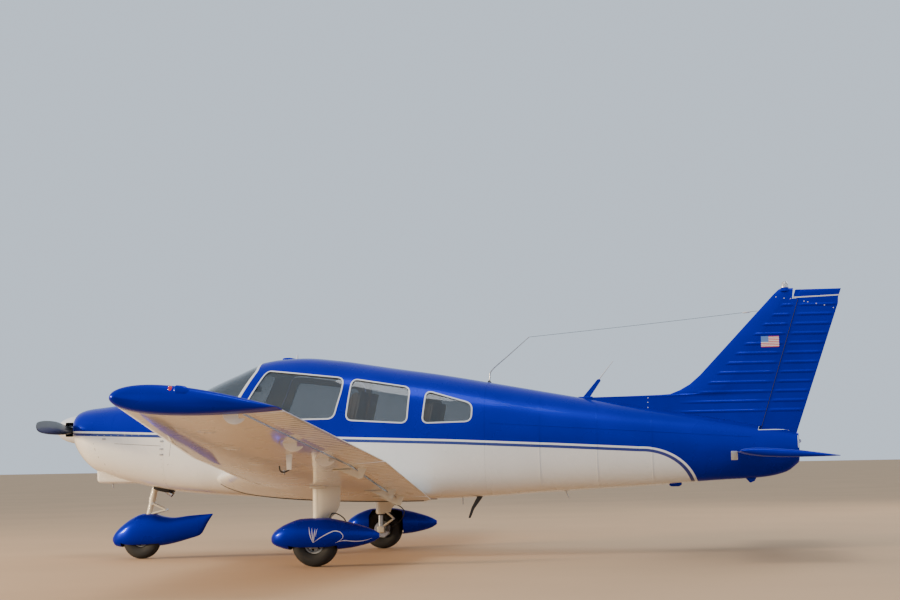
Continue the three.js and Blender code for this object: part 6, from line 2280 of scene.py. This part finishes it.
def sew(pad, face, lines, depth=7, width=9):
    """Presses sewn channels into the cushion's face. Each line is a point and a direction across it."""
    mesh = pad.data
    place = points_of(mesh)
    flat = np.empty(len(mesh.vertices) * 3)
    mesh.vertices.foreach_get("normal", flat)
    facing = np.clip(flat.reshape(-1, 3) @ np.array(face) * 2 - 0.6, 0, 1)
    press = np.zeros(len(place))
    for point, across in lines:
        distance = (place - to_frame([point])[0]) @ np.array(across, float) / MM
        press = np.maximum(press, np.exp(-((distance / width) ** 2)))
    place -= np.array(face) * (press * facing * depth * MM)[:, None]
    mesh.vertices.foreach_set("co", place.ravel())
    mesh.update()


def piping(pad, path, name, material):
    """A cord sewn round the cushion's edge, laid on its surface"""
    tree = BVHTree.FromPolygons([v.co for v in pad.data.vertices], [p.vertices for p in pad.data.polygons])
    line = evenly(np.array(path, float), 14, closed=True)
    points, normals = [], []
    for spot in to_frame(line):
        hit, normal, _, _ = tree.find_nearest(Vector(spot))
        points.append(np.array(hit) / MM + (MID_STATION, 0, 0))
        normals.append(np.array(normal))
    points = np.array(points)
    for _ in range(3):
        points = (np.roll(points, 1, 0) + 2 * points + np.roll(points, -1, 0)) / 4
    turns = np.linspace(0, 2 * math.pi, 6, endpoint=False)
    round_cord = [(4 * math.cos(t), 1.5 + 4 * math.sin(t)) for t in turns]
    made = ribbon(points, np.array(normals), round_cord, True, material)
    made.name = name
    return made


def seat_parts(name, base, back, low, high):
    """The cushion and the back as blocks, and the direction that the back faces"""
    face = np.array(back[-1], float) - back[0]
    run = face / np.hypot(*face)
    outlines = (("cushion", base), ("back", back))
    pads = [pad_blank(f"{name}_{word}", outline, low, high, SEAT_CLOTH) for word, outline in outlines]
    return pads, np.array((-run[1], 0, run[0]))


def seat_piping(pad, name, corners, low, high):
    """Cords along both long edges of the cushion's outline"""
    cords = []
    for y in (low + 22, high - 22):
        path = [(s, y, z) for s, z in rounded(corners, 30, 6)]
        cords.append(piping(pad, path, name, SEAT_VINYL))
    return cords


def add_seats():
    places = [
        ("front_left_seat", FRONT_BASE, FRONT_BACK, -FRONT_Y[1], -FRONT_Y[0], "front_seat_left", 2),
        ("front_right_seat", FRONT_BASE, FRONT_BACK, FRONT_Y[0], FRONT_Y[1], "front_seat_right", 2),
        ("rear_bench", REAR_BASE, REAR_BACK, -REAR_Y[1], REAR_Y[1], "rear_seat", 5),
    ]
    made = [(*place, *seat_parts(*place[:5])) for place in places]
    swell([pad for row in made for pad in row[7]])
    for name, base, back, low, high, node, channels, pads, normal in made:
        step = (high - low) / (channels + 1)
        lines = [((0, low + step * (k + 1), 0), (0, 1, 0)) for k in range(channels)]
        middle = np.mean(base, 0)
        sew(pads[0], (0, 0, 1), [*lines, ((middle[0] - 150, 0, 0), (1, 0, 0))])
        sew(pads[1], tuple(normal), [*lines, ((0, 0, back[-1][1] - 120), (0, 0, 1))])
        cords = seat_piping(pads[0], name, base, low, high) + seat_piping(pads[1], name, back, low, high)
        finish_piece(merge(f"{name}_piping", cords), sharp=80)
        for pad, nodes in zip(pads, ([node], [])):
            finish_piece(pad, nodes=nodes, sharp=80)
        seat_frame(name, base, back, low, high)


def seat_frame(name, base, back, low, high):
    """The tubes, rails and the shell behind the cushions"""
    front, rear = base[0][0] + 30, base[-1][0] - 20
    under = min(z for _, z in base) - 22
    parts = []
    legs = np.linspace(low + 60, high - 60, 2 if high - low < 500 else 4)
    for y in legs:
        rail = (front - 40, y - 14, CABIN_FLOOR), (rear + 40, y + 14, CABIN_FLOOR + 14)
        parts.append(soft_box(*rail, 4, STEEL, steps=2))
        foot_z = CABIN_FLOOR + 10
        path = [(front + 20, y, foot_z), (front, y, under), (rear, y, under), (rear + 25, y, foot_z)]
        parts.append(rod(path, 9, STEEL, 14))
    for s in (front, rear):
        parts.append(rod([(s, low + 40, under), (s, high - 40, under)], 9, STEEL, 14))
    ends = (front - 10, low + 30, under + 6), (rear + 10, high - 30, under + 14)
    pan = soft_box(*ends, 3, SEAT_VINYL, steps=2)
    top, foot = np.array(back[2], float), np.array(back[1], float)
    corners = [foot + (14, -40), foot + (24, -44), top + (22, 2), top + (12, 8)]
    shell = prism(rounded(corners, 4, 4), low + 18, high - 18, SEAT_VINYL)
    parts += [pan, shell]
    finish_piece(merge(f"{name}_frame", parts), sharp=50)


def add_lining_details():
    """The arm rest on the left wall and the two visors"""
    wall = skin_reach((2400, 1150), LEFT) - 44
    low, high = between(LEFT, wall - 34, wall)
    parts = [soft_box((2400, low, 1128), (2760, high, 1166), 12, SEAT_VINYL)]
    for side, _ in SIDES:
        low, high = between(side, 90, 330)
        parts.append(soft_box((2010, low, 1665), (2130, high, 1674), 4, LINING))
    finish_piece(merge("cabin_fittings", parts), sharp=50)


def dress_nodes():
    """Materials of the solids that show as they are"""
    finishes = {"cabin_floor": CARPET, "rear_bulkhead": LINING, "firewall": STEEL, "engine": CAST}
    for name, material in finishes.items():
        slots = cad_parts[name].data.materials
        if not slots:
            slots.append(material)
        for k in range(len(slots)):
            slots[k] = material


# Painted ornament

# Strokes on the side of a main wheel's cover: station and height along each, and its width
ORNAMENT = (
    ([(2822, 199), (2800, 262), (2789, 330)], 7),
    ([(2824, 200), (2818, 262), (2814, 324)], 7),
    ([(2826, 201), (2834, 262), (2842, 318)], 7),
    ([(2822, 199), (2868, 232), (2924, 263), (2972, 286), (3006, 295), (3046, 286), (3068, 262), (3070, 245),
      (3052, 222), (3020, 205)], 8),
    ([(3004, 197), (3040, 210), (3086, 216), (3150, 209), (3204, 209), (3260, 218), (3300, 232)], 8),
    ([(2846, 250), (2852, 290), (2862, 318)], 5),
)


def on_pod(table, line, y, side):
    """Points of a side-view line on a cover's side"""
    half, mid, reach = pod_section(table, line[:, 0])
    up = np.clip(abs((line[:, 1] - mid) / reach), 0, 1)
    across = half * (1 - up**POD_POWER) ** (1 / POD_POWER)
    return np.stack([line[:, 0], y + side * across, line[:, 1]], 1)


def pod_normals(table, points, y):
    """Outward directions of a cover's skin at the points"""
    def value(p):
        half, mid, reach = pod_section(table, p[:, 0])
        return abs((p[:, 1] - y) / half) ** POD_POWER + abs((p[:, 2] - mid) / reach) ** POD_POWER

    slope = [value(points + step) - value(points - step) for step in np.eye(3)]
    return unit(np.stack(slope, 1))


def add_ornament():
    """The pin-stripe strokes on both sides' wheel covers"""
    for side, word in SIDES:
        y = side * MAIN_Y
        strokes = []
        for path, width in ORNAMENT:
            line = evenly(curve(path, 10), 8)
            points = on_pod(MAIN_FAIRING, line, y, side)
            normals = pod_normals(MAIN_FAIRING, points, y)
            strokes.append(tapered(points, normals, width, 0.9, PINSTRIPE))
        finish_piece(merge(f"{word}_cover_ornament", strokes), sharp=60)


def tapered(points, normals, width, rise, material):
    """A painted stroke that thins towards both ends"""
    across = np.cross(normals, unit(np.gradient(points, axis=0)))
    share = np.sin(np.linspace(0.12, math.pi - 0.12, len(points)))[:, None]
    corners = ((-1, -0.8), (-1, rise), (1, rise), (1, -0.8))
    grid = np.stack([points + a * width / 2 * share * across + u * normals for a, u in corners], 1)
    return loft("stroke", grid, material)


# The flag's front and back station, and its lower and upper height
FLAG = (6534, 6691, 1807, 1904)


def add_flag():
    """The small striped flag on the fin"""
    s0, s1, z0, z1 = FLAG
    for side, word in SIDES:
        grid = []
        for s in np.linspace(s0, s1, 12):
            height = np.linspace(z0, z1, 8)
            y = fin_half(height, s, linear(FIN, height, 1), hinge_station(height) - FIN_REACH)
            grid.append(np.stack([np.full(8, s), side * (y + BEAD_RISE + 0.8), height], 1))
        outer = np.array(grid)
        inner = outer - (0, side * (BEAD_RISE + 3), 0)
        rings = np.concatenate([outer, inner[:, ::-1]], 1)
        finish_piece(loft(f"fin_flag_{word}", rings, FLAG_PAINT))


def flag_paint():
    """Red and white stripes with a blue corner"""
    shader = Shader("flag_paint", Roughness=0.4, Coat_Weight=0.4)
    s0, s1, z0, z1 = FLAG
    x, z = shader.axis("X"), shader.axis("Z")
    along = shader.ramp(x, (s0 - MID_STATION) * MM, (s1 - MID_STATION) * MM)
    up = shader.ramp(z, z0 * MM, z1 * MM)
    stripe = shader.math("GREATER_THAN", shader.math("FRACT", shader.math("MULTIPLY", up, 6.5)), 0.5)
    corner = shader.math(
        "MULTIPLY", shader.math("LESS_THAN", along, 0.42), shader.math("GREATER_THAN", up, 0.46)
    )
    colour = shader.mix(stripe, (0.60, 0.02, 0.03), (0.82, 0.80, 0.78))
    shader.set(Base_Color=shader.mix(corner, colour, (0.10, 0.22, 0.55)))
    shader.bump(shader.noise(90.0, 3), 0.0004, 0.2)
    return shader.material


FLAG_PAINT = flag_paint()
PINSTRIPE = plain_paint("pinstripe", (0.60, 0.60, 0.72), 0.3, 0.8, 0.06)


# Light, floor and camera

# Metres, degrees and millimetres of lens, fitted to the photograph
CAMERA_PLACE = (2.4732, -15.9215, 0.8278)
YAW, PITCH, ROLL = -8.395, 5.284, -0.998
LENS = 70.72
FLOOR_SIZE = 400
SKY_COLOUR, SKY_STRENGTH = (0.74, 0.86, 1.0, 1), 0.92
# Name, place, aim, size, power and colour
LIGHTS = (
    ("key", (-16, -7, 3.6), (0.3, 0, 1.0), 3, 3700, (1.0, 0.78, 0.50)),
    ("fill", (1, -9, 17.0), (0.3, 0, 1.1), 8, 1000, (0.90, 0.94, 1.0)),
    ("back", (9, 13, 9), (0.5, 0, 1.2), 7, 700, (1.0, 0.97, 0.92)),
)


def add_floor():
    """The plain ground under the aircraft"""
    corners = [(x * FLOOR_SIZE, y * FLOOR_SIZE, 0) for x, y in ((-1, -1), (1, -1), (1, 1), (-1, 1))]
    floor = add_object("floor", corners, [(0, 1, 2, 3)])
    shader = Shader("floor_paint", Roughness=0.85)
    shader.set(Base_Color=mottled(shader, (0.54, 0.33, 0.17), 0.05, 0.4))
    floor.data.materials.append(shader.material)


def add_light(name, place, aim, size, power, colour):
    light = bpy.data.lights.new(name, "AREA")
    light.shape, light.size, light.energy, light.color = "DISK", size, power, colour
    lamp = linked(name, light)
    lamp.location = place
    lamp.rotation_euler = (Vector(aim) - Vector(place)).to_track_quat("-Z", "Y").to_euler()


def add_lights():
    """A low warm key from ahead and to the left, and two soft lights from above"""
    for row in LIGHTS:
        add_light(*row)
    world = bpy.data.worlds.new("studio")
    world.use_nodes = True
    painted_sky_reflection = world.node_tree.nodes["Background"]
    painted_sky_reflection.inputs["Color"].default_value = SKY_COLOUR
    painted_sky_reflection.inputs["Strength"].default_value = SKY_STRENGTH
    bpy.context.scene.world = world


def add_camera():
    """The camera that saw the photograph"""
    yaw, pitch, roll = (math.radians(v) for v in (YAW, PITCH, ROLL))
    ahead = Vector((math.sin(yaw) * math.cos(pitch), math.cos(yaw) * math.cos(pitch), math.sin(pitch)))
    level = Vector((math.cos(yaw), -math.sin(yaw), 0))
    upright = level.cross(ahead)
    right = level * math.cos(roll) + upright * math.sin(roll)
    up = upright * math.cos(roll) - level * math.sin(roll)
    camera = bpy.data.cameras.new("camera")
    camera.sensor_width, camera.lens, camera.clip_end = 36, LENS, 2000
    holder = linked("camera", camera)
    turn = Matrix((right, up, -ahead)).transposed().to_4x4()
    holder.matrix_world = Matrix.Translation(CAMERA_PLACE) @ turn
    bpy.context.scene.camera = holder


# All together

STEPS = (
    add_cowling, add_cabin, add_doors, add_glazing, add_window_trim, add_tail_cone, add_fin, add_rudder,
    add_stabilator, add_wings, add_propeller, add_wheels, add_main_gear, add_nose_gear, add_hull_rivets,
    add_wing_rivets, add_wing_details, add_nose_details, add_door_details, add_antennas, add_lamps,
    add_tail_details, add_panel, add_controls, add_seats, add_lining_details, add_ornament, add_flag,
    dress_nodes, add_floor, add_lights, add_camera,
)
for add in STEPS:
    add()
